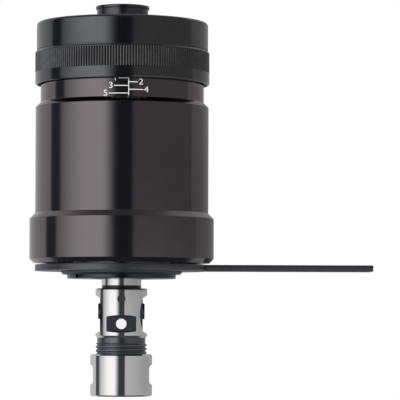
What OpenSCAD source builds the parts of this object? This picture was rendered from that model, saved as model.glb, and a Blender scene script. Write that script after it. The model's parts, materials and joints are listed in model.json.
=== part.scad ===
// Self-reversing tapping head with a torque cap, a planetary reversing gear and a rubber collet chuck.
// Millimetres, +Z up. The origin is the centre of the socket's mouth; the stop arm lies along +X.

/* [Drive hub] */
// Radius of the flange at the socket's mouth
hub_flange_r = 10.9; // [10.7:0.1:13]
// Thickness of that flange
hub_flange_h = 1.26; // [0.8:0.02:2.5]
// Radius of the hub's neck
hub_neck_r = 10.4; // [9.6:0.1:10.6]
// Diameter of the taper at its mouth
taper_mouth_d = 15.85; // [15:0.05:16.5]
// Diameter of the taper at its small end
taper_end_d = 14.24; // [13.5:0.01:14.6]
// Length of the taper
taper_depth = 25.4; // [22:0.1:26]
// Gap between the hub's clutch plate and the neck's bore
hub_plate_gap = 2; // [0.8:0.1:5]
// Thickness of the hub's clutch plate
hub_plate_h = 4; // [2.5:0.1:5]

/* [Torque cap] */
// Distance from the socket's mouth down to the cap
cap_drop = 6.85; // [4:0.05:12]
// Height of the cap
cap_h = 25.25; // [23:0.05:32]
// Wall of the smooth upper band
cap_wall = 1.65; // [1.4:0.05:2.8]
// Rounding of the cap's top edge
cap_edge = 1.5; // [0.5:0.1:4]
// Rise of the knurl over the upper band
knurl_rise = 0.55; // [0.3:0.05:1.5]
// Height of the knurled band
knurl_h = 8.45; // [5:0.05:10]
// Rise of the plain band below the knurl over the upper band
cap_band_rise = 0.3; // [0:0.05:1]
// Height of that plain band
cap_band_h = 5.4; // [3:0.1:7]
// Thickness of the cap's crown
cap_crown = 5; // [3.5:0.1:6]
// Rise of the cap per turn
cap_pitch = 1.5; // [1:0.05:1.6]
// Turns from the lowest to the highest setting
cap_turns = 4; // [3:0.5:4]

/* [Housing] */
// Step from the body in to the neck that carries the scale
neck_step = 1.97; // [1.4:0.01:2.6]
// Wall of the neck
neck_wall = 3.2; // [2.6:0.1:3.5]
// Height of neck that shows under the cap at the lowest setting
scale_h = 7.3; // [6.6:0.05:11]
// Radius of the body
body_r = 35.17; // [31:0.05:40]
// Height of the body
body_h = 43; // [40:0.1:60]
// Wall of the body
body_wall = 3.17; // [2.9:0.05:4]
// Step from the body out to the skirt
skirt_step = 2.23; // [1.6:0.01:4.8]
// Height of the skirt
skirt_h = 16.25; // [14:0.05:24]
// Chamfer round the foot of the skirt
foot_chamfer = 1.7; // [0.8:0.05:2.2]
// Depth of the slip clutch's seat below the shoulder
clutch_seat_drop = 2.6; // [2:0.1:4]
// Thickness of the lip under the hub bearing
web_lip = 3; // [2:0.1:5]

/* [Slip clutch] */
// Thickness of the pressure plate
pressure_plate_h = 3; // [2:0.1:4]
// Thickness of each friction disc
friction_disc_h = 2; // [1.2:0.1:3]
// Thickness of the thrust race under the cap
race_h = 2; // [1.2:0.1:3]
// Wire of the clutch spring
clutch_wire_d = 3.4; // [2.4:0.1:3.8]

/* [Bearings] */
// Bore of the hub bearing
hub_bearing_bore_d = 20; // [19.4:0.1:20.2]
// Outside diameter of the hub bearing
hub_bearing_d = 42; // [40:0.1:44]
// Width of the hub bearing
hub_bearing_w = 12; // [10:0.1:14]
// Balls of the hub bearing
hub_ball_d = 6.35; // [5:0.05:6.6]
// Bore of the main bearing, which carries the planet carrier
main_bearing_bore_d = 40; // [39:0.1:42]
// Width of the main bearing
main_bearing_w = 5; // [4.6:0.1:6.5]
// Balls of the main bearing
main_ball_d = 3.5; // [2.8:0.05:3.8]

/* [Gear train] */
// Wall of the ring gear behind its teeth
ring_wall = 3.85; // [2.6:0.05:5]
// Face width of the gears
gear_face = 10; // [8:0.1:12]
// Diameter of the planet pins
planet_pin_d = 5; // [4:0.1:5.6]
// Thickness of the carrier's plate
carrier_plate_h = 3.4; // [2.6:0.1:4.5]

/* [Reversing clutch] */
// Wall of the reverse cone's cup
cup_wall = 3; // [2:0.1:4]
// Largest radius of the double cone
cone_r = 18; // [17:0.1:19]
// Height of each cone face
cone_h = 5; // [4:0.1:6]
// Slope of the cone faces from the axis
cone_angle = 25; // [15:1:28]
// Travel of the spindle up into forward drive
float_up = 2.5; // [1.5:0.1:2.8]
// Travel of the spindle down into reverse
float_down = 4; // [3:0.1:4.6]

/* [Stop plate] */
// Gap between the housing and the stop plate
foot_gap = 0.7; // [0.4:0.05:1.5]
// Radius of the plate
stop_plate_r = 35.1; // [30:0.1:38]
// Thickness of the plate and its arm
stop_plate_h = 2.5; // [1.6:0.1:5]
// Reach of the arm from the axis
arm_reach = 101.7; // [70:0.1:160]
// Width of the arm
arm_w = 16; // [10:0.5:24]
// Radius of the clamp disc
clamp_disc_r = 24.5; // [22.2:0.1:30]
// Thickness of the clamp disc
clamp_disc_h = 1.4; // [1:0.05:3]
// Radius of the seal retainer
retainer_r = 22.05; // [21.6:0.05:24]
// Thickness of the seal retainer
retainer_h = 1.7; // [1.4:0.05:3]
// Chamfer round the foot of the seal retainer
retainer_edge = 0.3; // [0.1:0.05:0.5]

/* [Spindle] */
// Radius of the spindle's shank
shank_r = 8.07; // [7.7:0.01:8.4]
// Length of shank that shows with the spindle in neutral
shank_show = 3.95; // [2.9:0.05:8]
// Radius of the undercut above the nose
undercut_r = 8; // [7:0.05:8.05]
// Length of the undercut
undercut_h = 1.2; // [0.6:0.1:2]
// Radius of the pilot that runs in the hub
pilot_r = 6; // [5:0.1:6.4]

/* [Chuck nose] */
// Radius of the nose
nose_r = 10.5; // [10.2:0.05:11.2]
// Height of the nose
nose_h = 19.9; // [18.6:0.1:26]
// Chamfer round the nose's top
ear_edge = 0.6; // [0.2:0.1:1]
// Chamfer round the nose's foot
bead_edge = 0.75; // [0.2:0.05:1]
// Distance between the side flats
nose_flats = 17.2; // [16.2:0.1:18.5]
// Distance from the nose's top to the flats
flats_drop = 3.85; // [2.8:0.05:4]
// Height of the flats
flats_h = 13.4; // [12.6:0.1:15]
// Slope of the flats' run-outs
flats_slope = 30; // [20:1:45]
// Depth of the jaw bore's axis below the nose's top
jaw_drop = 9.2; // [9:0.1:9.6]
// Diameter of the jaws and of their screws
jaw_d = 6.4; // [5.6:0.05:6.6]
// Gap between the jaws at rest
jaw_gap = 4.4; // [4.2:0.1:6]
// Reach of the jaw screws' heads from the axis
jaw_screw_reach = 9.43; // [9.2:0.05:10.4]
// Depth of the front pocket's centre below the nose's top
pocket_drop = 14.35; // [14.2:0.05:14.6]
// Height of the front pocket
pocket_h = 7.1; // [5.5:0.1:7.2]
// Slope of the pocket's upper and lower walls
pocket_slope = 16; // [0:1:25]
// Diameter of the pin in the front pocket
front_pin_d = 4.3; // [3:0.1:4.8]
// Depth of the set screw's axis below the nose's top
set_screw_drop = 4.3; // [3.9:0.1:4.6]
// Diameter of the set screw above the pocket
set_screw_d = 3.3; // [2.4:0.1:3.6]
// Bore that takes the tap's shank
tap_room_r = 5.2; // [4.6:0.1:5.6]

/* [Collet chuck] */
// Radius of the relief above the thread
relief_r = 9.76; // [9:0.02:9.9]
// Length of that relief
relief_h = 2.1; // [1.5:0.1:5]
// Radius over the thread
thread_r = 10.3; // [10:0.05:10.5]
// Length of the thread
thread_len = 13.2; // [11:0.1:16]
// Height of thread that shows above the nut
thread_show = 4.6; // [2:0.1:6]
// Radius of the collet nut
nut_r = 12.53; // [12:0.05:14]
// Height of the collet nut
nut_h = 16.95; // [15.5:0.05:22]
// Distance between the nut's wrench flats
nut_flats = 22.7; // [21.8:0.1:24]
// Height of the wrench flats
nut_flat_h = 6.25; // [4:0.05:8]
// Distance from the nut's top to the wrench flats
nut_flat_drop = 5.1; // [4:0.1:6]
// Radius of the collet
collet_r = 8.35; // [8:0.05:8.6]
// Diameter of the tap that the collet holds
tap_d = 6.4; // [6:0.05:8]

/* [Hidden] */
$fn = 96;
eps = 0.01;
// Radial clearance of a pressed or seated piece
seat_clear = 0.02;
// Radial clearance of a turning or sliding piece
run_clear = 0.05;
// Clearance between faces that pass each other
pass_clear = 0.3;

// Radii that step in and out from the body
neck_r = body_r - neck_step;
neck_bore_r = neck_r - neck_wall;
skirt_r = body_r + skirt_step;
cap_r = neck_r + run_clear + cap_wall;
knurl_r = cap_r + knurl_rise;
cap_band_r = cap_r + cap_band_rise;
hub_plate_r = neck_bore_r - hub_plate_gap;
body_bore_r = body_r - body_wall;

// Levels from the cap down to the stop plate
z_cap = -cap_drop;
z_cap_foot = z_cap - cap_h;
z_shoulder = z_cap_foot - scale_h;
z_body = z_shoulder - neck_step;
z_flare = z_body - body_h;
z_skirt = z_flare - skirt_step;
z_foot_edge = z_skirt - skirt_h;
z_foot = z_foot_edge - foot_chamfer;
z_plate = z_foot - foot_gap;
z_clamp = z_plate - stop_plate_h;
z_retainer = z_clamp - clamp_disc_h;
z_stack_foot = z_retainer - retainer_h;

// Slip clutch and hub bearing, from the cap down
cap_travel = cap_pitch * cap_turns;
neck_room = 1.15;
z_cap_under = z_cap - cap_crown;
z_race = z_cap_under - run_clear;
z_neck = z_cap_under - cap_travel - neck_room;
z_web = z_shoulder - clutch_seat_drop;
z_disc_lower = z_web + friction_disc_h;
z_hub_plate = z_disc_lower + run_clear + hub_plate_h;
z_disc_upper = z_hub_plate + run_clear + friction_disc_h;
z_pressure_plate = z_disc_upper + pressure_plate_h;
friction_width = 8;
friction_inner_r = neck_bore_r - friction_width;
z_hub_bearing_foot = z_web - hub_bearing_w;
z_web_foot = z_hub_bearing_foot - web_lip;
snap_h = 1.2;
snap_depth = 0.7;
snap_width = 2.2;
hub_journal_r = hub_bearing_bore_d / 2;
z_snap = z_hub_bearing_foot - run_clear;
hub_tail = 1.2;
hub_shoulder = 2.5;
z_hub_foot = z_snap - snap_h - hub_tail;
web_ledge = 3;
web_bore_r = hub_bearing_d / 2 - web_ledge;

// Main bearing and gear train, from the foot up
retaining_h = 1.2;
retaining_depth = 1.2;
retaining_lip = 0.4;
retaining_width = 2.5;
retaining_r = body_bore_r + retaining_depth;
z_main_foot = z_foot + retaining_lip + retaining_h;
z_main = z_main_foot + main_bearing_w;
z_carrier_foot = z_main + pass_clear;
z_carrier = z_carrier_foot + carrier_plate_h;
gear_lift = 1;
z_gear_foot = z_carrier + gear_lift;
z_gear = z_gear_foot + gear_face;

// Tooth counts of the sun, the planets and the ring: (30 + 54) / 3 planets is whole, so all mesh alike
sun_teeth = 30;
planet_teeth = 12;
ring_teeth = 54;
planet_angles = [90, 210, 330];
pressure_angle = 25;
addendum_share = 0.9;
dedendum_share = 1.15;
ring_root_r = body_bore_r - ring_wall;
gear_module = ring_root_r / (ring_teeth / 2 + dedendum_share);
addendum = addendum_share * gear_module;
dedendum = dedendum_share * gear_module;
tooth_slack = 0.12;
flank_steps = 4;
planet_orbit_r = (sun_teeth + planet_teeth) * gear_module / 2;
ring_rim_r = body_bore_r - seat_clear;
ring_skirt_step = 0.6;
sun_root_r = sun_teeth * gear_module / 2 - dedendum;
tooth_relief = 0.2;
pin_collar = 1;
pin_floor = 0.8;

// Double cone and its two seats
cone_clear = 0.1;
cone_small_r = cone_r - cone_h * tan(cone_angle);
forward_lip = 1;
forward_h = cone_h + forward_lip;
z_forward_mouth = z_web_foot - forward_h;
z_land = z_forward_mouth - float_up - cone_clear;
z_cone = z_land + cone_h;
cup_floor_h = 2;
cup_gap = 0.5;
cup_relief = 0.4;
z_cup_foot = z_gear + cup_gap;
z_cup_floor = z_cup_foot + cup_floor_h;
z_reverse_mouth = z_cup_floor + cone_h + cup_relief;
z_land_foot = z_reverse_mouth + float_down + cone_clear;
z_cone_foot = z_land_foot - cone_h;
cone_pin_d = 3;

// Spindle float springs and their seats
pilot_wall_h = 4;
pilot_len = 12.6;
socket_relief_h = 1.6;
socket_step = 0.6;
z_pilot_roof = -taper_depth - socket_relief_h - pilot_wall_h;
z_pilot = z_cone + pilot_len;
upper_seat_h = 1;
upper_wire_d = 1.4;
lower_seat_h = 1;
lower_wire_d = 1.6;
sun_wall = 1.85;
spring_bore_r = sun_root_r - sun_wall;
sun_hub_h = 3;
z_spring_floor = z_gear_foot + sun_hub_h;

// Planet carrier and what is clamped to it
carrier_plate_r = planet_orbit_r + planet_pin_d;
carrier_boss_r = main_bearing_bore_d / 2;
spigot_step = 4;
carrier_shoulder = 3;
carrier_spigot_r = carrier_boss_r - spigot_step;
bush_wall = 2.93;
bush_flange = 2;
bush_r = shank_r + bush_wall;
z_bush_foot = z_clamp - clamp_disc_h + run_clear;
screw_inset = 2;
screw_orbit_r = carrier_boss_r - screw_inset;
screw_d = 3;
screw_head_d = 5;
screw_head_h = 1.2;
screw_len = 10;
seal_width = 4.9;
seal_r = shank_r + seal_width;

// Chuck nose, jaws and collet
z_nose = z_stack_foot - shank_show;
z_nose_foot = z_nose - nose_h;
z_jaw = z_nose - jaw_drop;
z_pocket = z_nose - pocket_drop;
z_set_screw = z_nose - set_screw_drop;
stub_h = jaw_drop - jaw_d / 2 - run_clear - pass_clear;
jaw_len = 3.4;
jaw_bore_r = jaw_d / 2 + run_clear;
z_thread = z_nose_foot - relief_h;
z_thread_foot = z_thread - thread_len;
z_nut = z_thread - thread_show;
z_nut_foot = z_nut - nut_h;
nut_floor_h = 2.05;
nut_hole_gap = 3.3;
nut_hole_r = tap_d / 2 + nut_hole_gap;
z_nut_floor = z_nut_foot + nut_floor_h;
collet_len = 14.7;
z_collet = z_nut_floor + collet_len;
collet_bore_r = collet_r + run_clear;
blade_count = 6;
blade_t = 1;
blade_cover = 1;
blade_skin = 0.4;
blade_inner_r = tap_d / 2 + blade_cover;
blade_outer_r = collet_r - blade_skin;

// A round bar from its top level down
module bar(r, z, h) {
    translate([0, 0, z - h]) cylinder(r = r, h = h);
}

// A flat ring from its top level down
module ring(r_out, r_in, z, h) {
    difference() {
        bar(r_out, z, h);
        bar(r_in, z + eps, h + 2 * eps);
    }
}

// A cone frustum from its top level down
module frustum(r_top, r_foot, z, h) {
    translate([0, 0, z - h]) cylinder(r1 = r_foot, r2 = r_top, h = h);
}

// A bar along X or Y, from one distance to another
module cross_bar(r, from, to, z, turn) {
    translate([0, 0, z]) rotate([0, 0, turn]) translate([from, 0, 0]) rotate([0, 90, 0])
        cylinder(r = r, h = to - from, $fn = 48);
}

// Involute function in degrees
function involute(angle) = tan(angle) * 180 / PI - angle;

// Half of a tooth's angle at radius r
function tooth_half(r, pitch_r, teeth, slack) =
    90 / teeth - slack / pitch_r * 90 / PI + involute(pressure_angle)
    - involute(acos(min(1, pitch_r * cos(pressure_angle) / r)));

function polar(r, angle) = [r * cos(angle), r * sin(angle)];

// Outline of a gear with its first tooth at the angle phase
module gear_outline(teeth, root_r, tip_r, slack, phase) {
    pitch_r = teeth * gear_module / 2;
    start_r = max(pitch_r * cos(pressure_angle) + eps, root_r + eps);
    radii = [for (k = [0 : flank_steps]) start_r + (tip_r - start_r) * k / flank_steps];
    start_half = tooth_half(start_r, pitch_r, teeth, slack);
    polygon([for (i = [0 : teeth - 1])
        let (middle = phase + i * 360 / teeth)
        each concat(
            [polar(root_r, middle - start_half)],
            [for (r = radii) polar(r, middle - tooth_half(r, pitch_r, teeth, slack))],
            [for (k = [flank_steps : -1 : 0])
                polar(radii[k], middle + tooth_half(radii[k], pitch_r, teeth, slack))],
            [polar(root_r, middle + start_half)]
        )]);
}

// Round-wire coil spring between two levels
module coil_spring(coil_r, wire_d, z_top, z_foot, turns, steps) {
    sides = 6;
    count = round(turns * steps);
    rise = (z_top - z_foot - wire_d) / count;
    points = [for (i = [0 : count], s = [0 : sides - 1])
        let (side = s * 360 / sides + 90, r = coil_r + wire_d / 2 * cos(side))
        [r * cos(i * 360 / steps), r * sin(i * 360 / steps),
            z_foot + wire_d / 2 + rise * i + wire_d / 2 * sin(side)]];
    walls = [for (i = [0 : count - 1], s = [0 : sides - 1])
        let (a = i * sides + s, b = i * sides + (s + 1) % sides)
        each [[a, a + sides, b + sides], [a, b + sides, b]]];
    start_cap = [for (s = [0 : sides - 1]) s];
    end_cap = [for (s = [sides - 1 : -1 : 0]) count * sides + s];
    polyhedron(points = points, faces = concat(walls, [start_cap], [end_cap]));
}

// One race of a ball bearing, grooved for its balls
module bearing_race(r_out, r_in, z, w, ball_orbit_r, ball_d) {
    difference() {
        ring(r_out, r_in, z, w);
        translate([0, 0, z - w / 2]) rotate_extrude() translate([ball_orbit_r, 0])
            circle(r = ball_d / 2 + run_clear, $fn = 48);
    }
}

// A ring of bearing balls
module bearing_balls(ball_orbit_r, ball_d, z, count) {
    for (i = [0 : count - 1])
        rotate([0, 0, i * 360 / count]) translate([ball_orbit_r, 0, z]) sphere(d = ball_d, $fn = 32);
}

// The cage that spaces those balls
module bearing_cage(ball_orbit_r, ball_d, z, count, width, height) {
    difference() {
        ring(ball_orbit_r + width / 2, ball_orbit_r - width / 2, z + height / 2, height);
        bearing_balls(ball_orbit_r, ball_d + 2 * run_clear, z, count);
    }
}

// Drive hub: flange, neck, taper socket, clutch plate, bearing journal and spindle pilot bore
module drive_hub() {
    color("#26282c") difference() {
        union() {
            bar(hub_flange_r, 0, hub_flange_h);
            bar(hub_neck_r, 0, -z_hub_plate);
            bar(hub_plate_r, z_hub_plate, hub_plate_h);
            bar(hub_journal_r + hub_shoulder, z_disc_lower + run_clear, friction_disc_h + run_clear);
            bar(hub_journal_r, z_web, z_web - z_hub_foot);
        }
        frustum(taper_mouth_d / 2, taper_end_d / 2, 0, taper_depth);
        bar(taper_mouth_d / 2, eps, eps);
        bar(taper_end_d / 2 - socket_step, -taper_depth + eps, socket_relief_h);
        bar(pilot_r + run_clear, z_pilot_roof, z_pilot_roof - z_hub_foot + eps);
        ring(hub_journal_r + 1, hub_journal_r - snap_depth, z_snap + run_clear / 2, snap_h + run_clear);
    }
}

// Torque cap: crowned top, groove, band for the knurl and plain foot band, bored to run on the neck
module torque_cap() {
    groove_h = 0.6;
    top_band_h = cap_h - knurl_h - cap_band_h;
    foot_edge = 1.6;
    color("#1c2026") difference() {
        rotate_extrude() difference() {
            union() {
                translate([0, z_cap - top_band_h]) square([cap_r, top_band_h - cap_edge]);
                translate([0, z_cap - top_band_h]) square([cap_r - cap_edge, top_band_h]);
                translate([cap_r - cap_edge, z_cap - cap_edge]) circle(r = cap_edge, $fn = 48);
                translate([0, z_cap_foot + cap_band_h]) square([knurl_r, knurl_h]);
                polygon([[0, z_cap_foot], [cap_band_r - foot_edge / 2, z_cap_foot],
                    [cap_band_r, z_cap_foot + foot_edge], [cap_band_r, z_cap_foot + cap_band_h],
                    [0, z_cap_foot + cap_band_h]]);
            }
            translate([cap_r - 0.5, z_cap - top_band_h]) square([2, groove_h]);
            translate([-knurl_r, z_cap_foot - 1]) square([knurl_r, cap_h + 2]);
        }
        bar(neck_r + run_clear, z_cap_under, cap_h);
        bar(hub_neck_r + pass_clear, z_cap + 1, cap_crown + 2);
    }
}

// Thrust race between the turning cap and the clutch spring
module thrust_race() {
    color("silver") ring(neck_bore_r - 1, hub_neck_r + 2, z_race, race_h);
}

// Coil spring of the slip clutch
module clutch_spring() {
    color("dimgray") coil_spring(coil_r = (neck_bore_r + hub_neck_r) / 2, wire_d = clutch_wire_d,
        z_top = z_race - race_h, z_foot = z_pressure_plate, turns = 2.75, steps = 24);
}

// Plate that spreads the spring's load
module pressure_plate() {
    color("gray") ring(neck_bore_r - run_clear, hub_neck_r + 2, z_pressure_plate, pressure_plate_h);
}

// Friction disc above the hub's clutch plate
module friction_disc_upper() {
    color("sienna") ring(neck_bore_r - run_clear, friction_inner_r, z_disc_upper, friction_disc_h);
}

// Friction disc below the hub's clutch plate
module friction_disc_lower() {
    color("sienna") ring(neck_bore_r - run_clear, friction_inner_r, z_disc_lower, friction_disc_h);
}

// Housing: neck, shoulder, body, flare and skirt outside; clutch room, bearing seats and gear bore inside
module housing() {
    foot_r = skirt_r - foot_chamfer;
    color("#2b272c") rotate_extrude() polygon([
        [neck_bore_r, z_neck], [neck_r - 0.5, z_neck], [neck_r, z_neck - 0.5],
        [neck_r, z_shoulder], [body_r, z_body], [body_r, z_flare], [skirt_r, z_skirt],
        [skirt_r, z_foot_edge], [foot_r, z_foot], [body_bore_r, z_foot],
        [body_bore_r, z_foot + retaining_lip], [retaining_r, z_foot + retaining_lip],
        [retaining_r, z_main_foot], [body_bore_r, z_main_foot], [body_bore_r, z_web_foot],
        [web_bore_r, z_web_foot], [web_bore_r, z_hub_bearing_foot],
        [hub_bearing_d / 2, z_hub_bearing_foot], [hub_bearing_d / 2, z_web], [neck_bore_r, z_web]
    ]);
}

hub_ball_orbit_r = (hub_bearing_bore_d + hub_bearing_d) / 4;
hub_race_gap = hub_ball_d * 0.36;
hub_ball_count = 9;

// Outer race of the hub bearing
module hub_bearing_outer() {
    color("lightsteelblue") bearing_race(hub_bearing_d / 2 - seat_clear, hub_ball_orbit_r + hub_race_gap,
        z_web, hub_bearing_w, hub_ball_orbit_r, hub_ball_d);
}

// Inner race of the hub bearing
module hub_bearing_inner() {
    color("lightsteelblue") bearing_race(hub_ball_orbit_r - hub_race_gap, hub_journal_r + seat_clear,
        z_web, hub_bearing_w, hub_ball_orbit_r, hub_ball_d);
}

// Balls of the hub bearing
module hub_bearing_balls() {
    color("silver") bearing_balls(hub_ball_orbit_r, hub_ball_d, z_web - hub_bearing_w / 2, hub_ball_count);
}

// Cage of the hub bearing
module hub_bearing_cage() {
    color("goldenrod") bearing_cage(hub_ball_orbit_r, hub_ball_d, z_web - hub_bearing_w / 2,
        hub_ball_count, 2 * hub_race_gap - 2.4, hub_ball_d + 1.6);
}

// Snap ring that holds the hub in its bearing
module hub_snap_ring() {
    opening = 3;
    color("dimgray") difference() {
        ring(hub_journal_r - snap_depth + snap_width, hub_journal_r - snap_depth + seat_clear, z_snap, snap_h);
        translate([-opening / 2, 0, z_snap - 2 * snap_h]) cube([opening, hub_journal_r * 2, 3 * snap_h]);
    }
}

// Seat of the forward drive: an inner cone that faces down, seated under the housing's web
module forward_cone() {
    color("darkkhaki") difference() {
        bar(body_bore_r - seat_clear, z_web_foot, forward_h);
        frustum(cone_small_r, cone_r, z_forward_mouth + cone_h, cone_h);
        bar(cone_r, z_forward_mouth + eps, 2 * eps);
        bar(cone_small_r, z_web_foot + eps, forward_h);
    }
}

// Sleeve that spaces the forward seat from the ring gear
module spacer_sleeve() {
    sleeve_wall = 3;
    color("slategray") ring(ring_rim_r, ring_rim_r - sleeve_wall, z_forward_mouth, z_forward_mouth - z_gear);
}

// Ring gear with a plain skirt down to the main bearing
module ring_gear() {
    pitch_r = ring_teeth * gear_module / 2;
    color("slategray") difference() {
        bar(ring_rim_r, z_gear, z_gear - z_main);
        translate([0, 0, z_gear_foot - eps]) linear_extrude(gear_face + 2 * eps)
            gear_outline(ring_teeth, pitch_r - addendum, ring_root_r, -tooth_slack, 180 / ring_teeth);
        bar(ring_root_r + ring_skirt_step, z_gear_foot, z_gear_foot - z_main + eps);
    }
}

// Sun gear with the cup of the reverse drive on top, bored for the spindle and the lower float spring
module sun_gear() {
    pitch_r = sun_teeth * gear_module / 2;
    cup_r = cone_r + cup_wall;
    color("darkkhaki") difference() {
        union() {
            translate([0, 0, z_gear_foot]) linear_extrude(gear_face)
                gear_outline(sun_teeth, sun_root_r, pitch_r + addendum, tooth_slack, 0);
            bar(sun_root_r - tooth_relief, z_cup_foot + eps, z_cup_foot - z_gear + 2 * eps);
            bar(cup_r, z_reverse_mouth, z_reverse_mouth - z_cup_foot);
        }
        frustum(cone_r, cone_small_r, z_reverse_mouth, cone_h);
        bar(cone_r, z_reverse_mouth + eps, 2 * eps);
        bar(cone_small_r, z_reverse_mouth - cone_h + eps, z_reverse_mouth - cone_h - z_cup_floor + eps);
        bar(spring_bore_r, z_cup_floor + eps, z_cup_floor - z_spring_floor + eps);
        bar(shank_r + run_clear, z_spring_floor + eps, sun_hub_h + 2 * eps);
    }
}

// One planet gear, bored for its pin
module planet(number) {
    pitch_r = planet_teeth * gear_module / 2;
    place = polar(planet_orbit_r, planet_angles[number]);
    color("peru") translate([place[0], place[1], z_gear_foot]) difference() {
        linear_extrude(gear_face)
            gear_outline(planet_teeth, pitch_r - dedendum, pitch_r + addendum, tooth_slack, 0);
        translate([0, 0, -eps]) cylinder(d = planet_pin_d + 2 * run_clear, h = gear_face + 2 * eps);
    }
}

module planet_1() { planet(0); }
module planet_2() { planet(1); }
module planet_3() { planet(2); }

// Planet pins, each with a collar under its gear, pressed into the carrier
module planet_pins() {
    collar_r = planet_pin_d / 2 + pin_collar;
    z_pin = z_gear - tooth_relief;
    color("silver") for (angle = planet_angles)
        translate([planet_orbit_r * cos(angle), planet_orbit_r * sin(angle), 0]) {
            bar(planet_pin_d / 2, z_pin, z_pin - z_carrier_foot - pin_floor);
            bar(collar_r, z_gear_foot - run_clear, gear_lift - run_clear);
        }
}

// Planet carrier: plate with the pins, bearing boss and the spigot of the stop plate
module planet_carrier() {
    color("slategray") difference() {
        union() {
            bar(carrier_plate_r, z_carrier, carrier_plate_h);
            bar(carrier_boss_r + carrier_shoulder, z_carrier_foot, pass_clear);
            bar(carrier_boss_r, z_carrier_foot, z_carrier_foot - z_plate);
            bar(carrier_spigot_r, z_plate, stop_plate_h);
        }
        bar(bush_r, z_carrier + eps, z_carrier - z_clamp + 2 * eps);
        for (angle = planet_angles)
            translate([planet_orbit_r * cos(angle), planet_orbit_r * sin(angle), 0])
                bar(planet_pin_d / 2, z_carrier + eps, carrier_plate_h - pin_floor + eps);
        cover_screw_places() bar(screw_d / 2, z_stack_foot + screw_len, screw_len);
    }
}

main_ball_orbit_r = (carrier_boss_r + body_bore_r) / 2;
main_race_gap = main_ball_d * 0.4;
main_ball_count = 24;

// Outer race of the main bearing
module main_bearing_outer() {
    color("lightsteelblue") bearing_race(body_bore_r - seat_clear, main_ball_orbit_r + main_race_gap,
        z_main, main_bearing_w, main_ball_orbit_r, main_ball_d);
}

// Inner race of the main bearing
module main_bearing_inner() {
    color("lightsteelblue") bearing_race(main_ball_orbit_r - main_race_gap, carrier_boss_r + seat_clear,
        z_main, main_bearing_w, main_ball_orbit_r, main_ball_d);
}

// Balls of the main bearing
module main_bearing_balls() {
    color("silver") bearing_balls(main_ball_orbit_r, main_ball_d, z_main - main_bearing_w / 2, main_ball_count);
}

// Cage of the main bearing
module main_bearing_cage() {
    color("goldenrod") bearing_cage(main_ball_orbit_r, main_ball_d, z_main - main_bearing_w / 2,
        main_ball_count, 2 * main_race_gap - 1.2, main_ball_d + 0.8);
}

// Ring in the housing's groove that holds the main bearing and the gear stack
module bearing_retaining_ring() {
    opening = 6;
    outer_r = retaining_r - seat_clear;
    color("dimgray") difference() {
        ring(outer_r, body_bore_r - retaining_width, z_main_foot - seat_clear, retaining_h - 2 * seat_clear);
        translate([-opening / 2, 0, z_foot]) cube([opening, 2 * outer_r, 2 * retaining_h]);
    }
}

// Flanged bush that guides the spindle and carries the sun gear
module spindle_bush() {
    flange_h = gear_lift - run_clear;
    color("darkgoldenrod") difference() {
        union() {
            bar(bush_r + bush_flange, z_carrier + flange_h, flange_h);
            bar(bush_r - seat_clear, z_carrier, z_carrier - z_bush_foot);
        }
        bar(shank_r + run_clear, z_gear_foot, z_gear_foot - z_bush_foot + eps);
    }
}

// Places of the screws that clamp the discs and the stop plate to the carrier
module cover_screw_places() {
    for (angle = [0, 120, 240])
        rotate([0, 0, angle]) translate([screw_orbit_r, 0, 0]) children();
}

// Stop plate: a disc with its long arm, seated on the carrier's spigot
module stop_plate() {
    color("#30353d") difference() {
        union() {
            bar(stop_plate_r, z_plate, stop_plate_h);
            translate([0, -arm_w / 2, z_clamp]) cube([arm_reach, arm_w, stop_plate_h]);
        }
        bar(carrier_spigot_r + seat_clear, z_plate + eps, stop_plate_h + 2 * eps);
        cover_screw_places() bar(screw_d / 2, z_plate + eps, stop_plate_h + 2 * eps);
    }
}

// Disc that clamps the stop plate, chamfered below
module clamp_disc() {
    chamfer = clamp_disc_h * 0.5;
    color("#2c3038") difference() {
        union() {
            bar(clamp_disc_r, z_clamp, clamp_disc_h - chamfer);
            frustum(clamp_disc_r, clamp_disc_r - chamfer, z_retainer + chamfer, chamfer);
        }
        bar(bush_r + 1, z_clamp + eps, clamp_disc_h + 2 * eps);
        cover_screw_places() bar(screw_d / 2, z_clamp + eps, clamp_disc_h + 2 * eps);
    }
}

// Disc that holds the shaft seal, with a spanner notch in its rim
module seal_retainer() {
    notch_w = 2.4;
    notch_depth = 1.4;
    notch_angle = 217.5;
    color("#2c3038") difference() {
        union() {
            bar(retainer_r, z_retainer, retainer_h - retainer_edge);
            frustum(retainer_r, retainer_r - retainer_edge, z_stack_foot + retainer_edge, retainer_edge);
        }
        bar(seal_r, z_retainer + eps, retainer_h + 2 * eps);
        cover_screw_places() {
            bar(screw_d / 2, z_retainer + eps, retainer_h + 2 * eps);
            bar(screw_head_d / 2, z_stack_foot + screw_head_h, screw_head_h + eps);
        }
        rotate([0, 0, notch_angle]) translate([retainer_r - notch_depth, -notch_w / 2, z_stack_foot - eps])
            cube([2 * notch_depth, notch_w, retainer_h + 2 * eps]);
    }
}

// Rubber seal round the shank
module shaft_seal() {
    color("black") ring(seal_r - seat_clear, shank_r + run_clear, z_retainer - run_clear,
        retainer_h - 2 * run_clear);
}

// Screws through the discs and the stop plate into the carrier
module cover_screws() {
    color("dimgray") cover_screw_places() {
        bar(screw_d / 2 - seat_clear, z_stack_foot + screw_len, screw_len - screw_head_h + eps);
        difference() {
            bar(screw_head_d / 2 - seat_clear, z_stack_foot + screw_head_h, screw_head_h);
            translate([0, 0, z_stack_foot - eps]) cylinder(d = screw_d * 0.7, h = screw_head_h * 0.6, $fn = 6);
        }
    }
}

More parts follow.
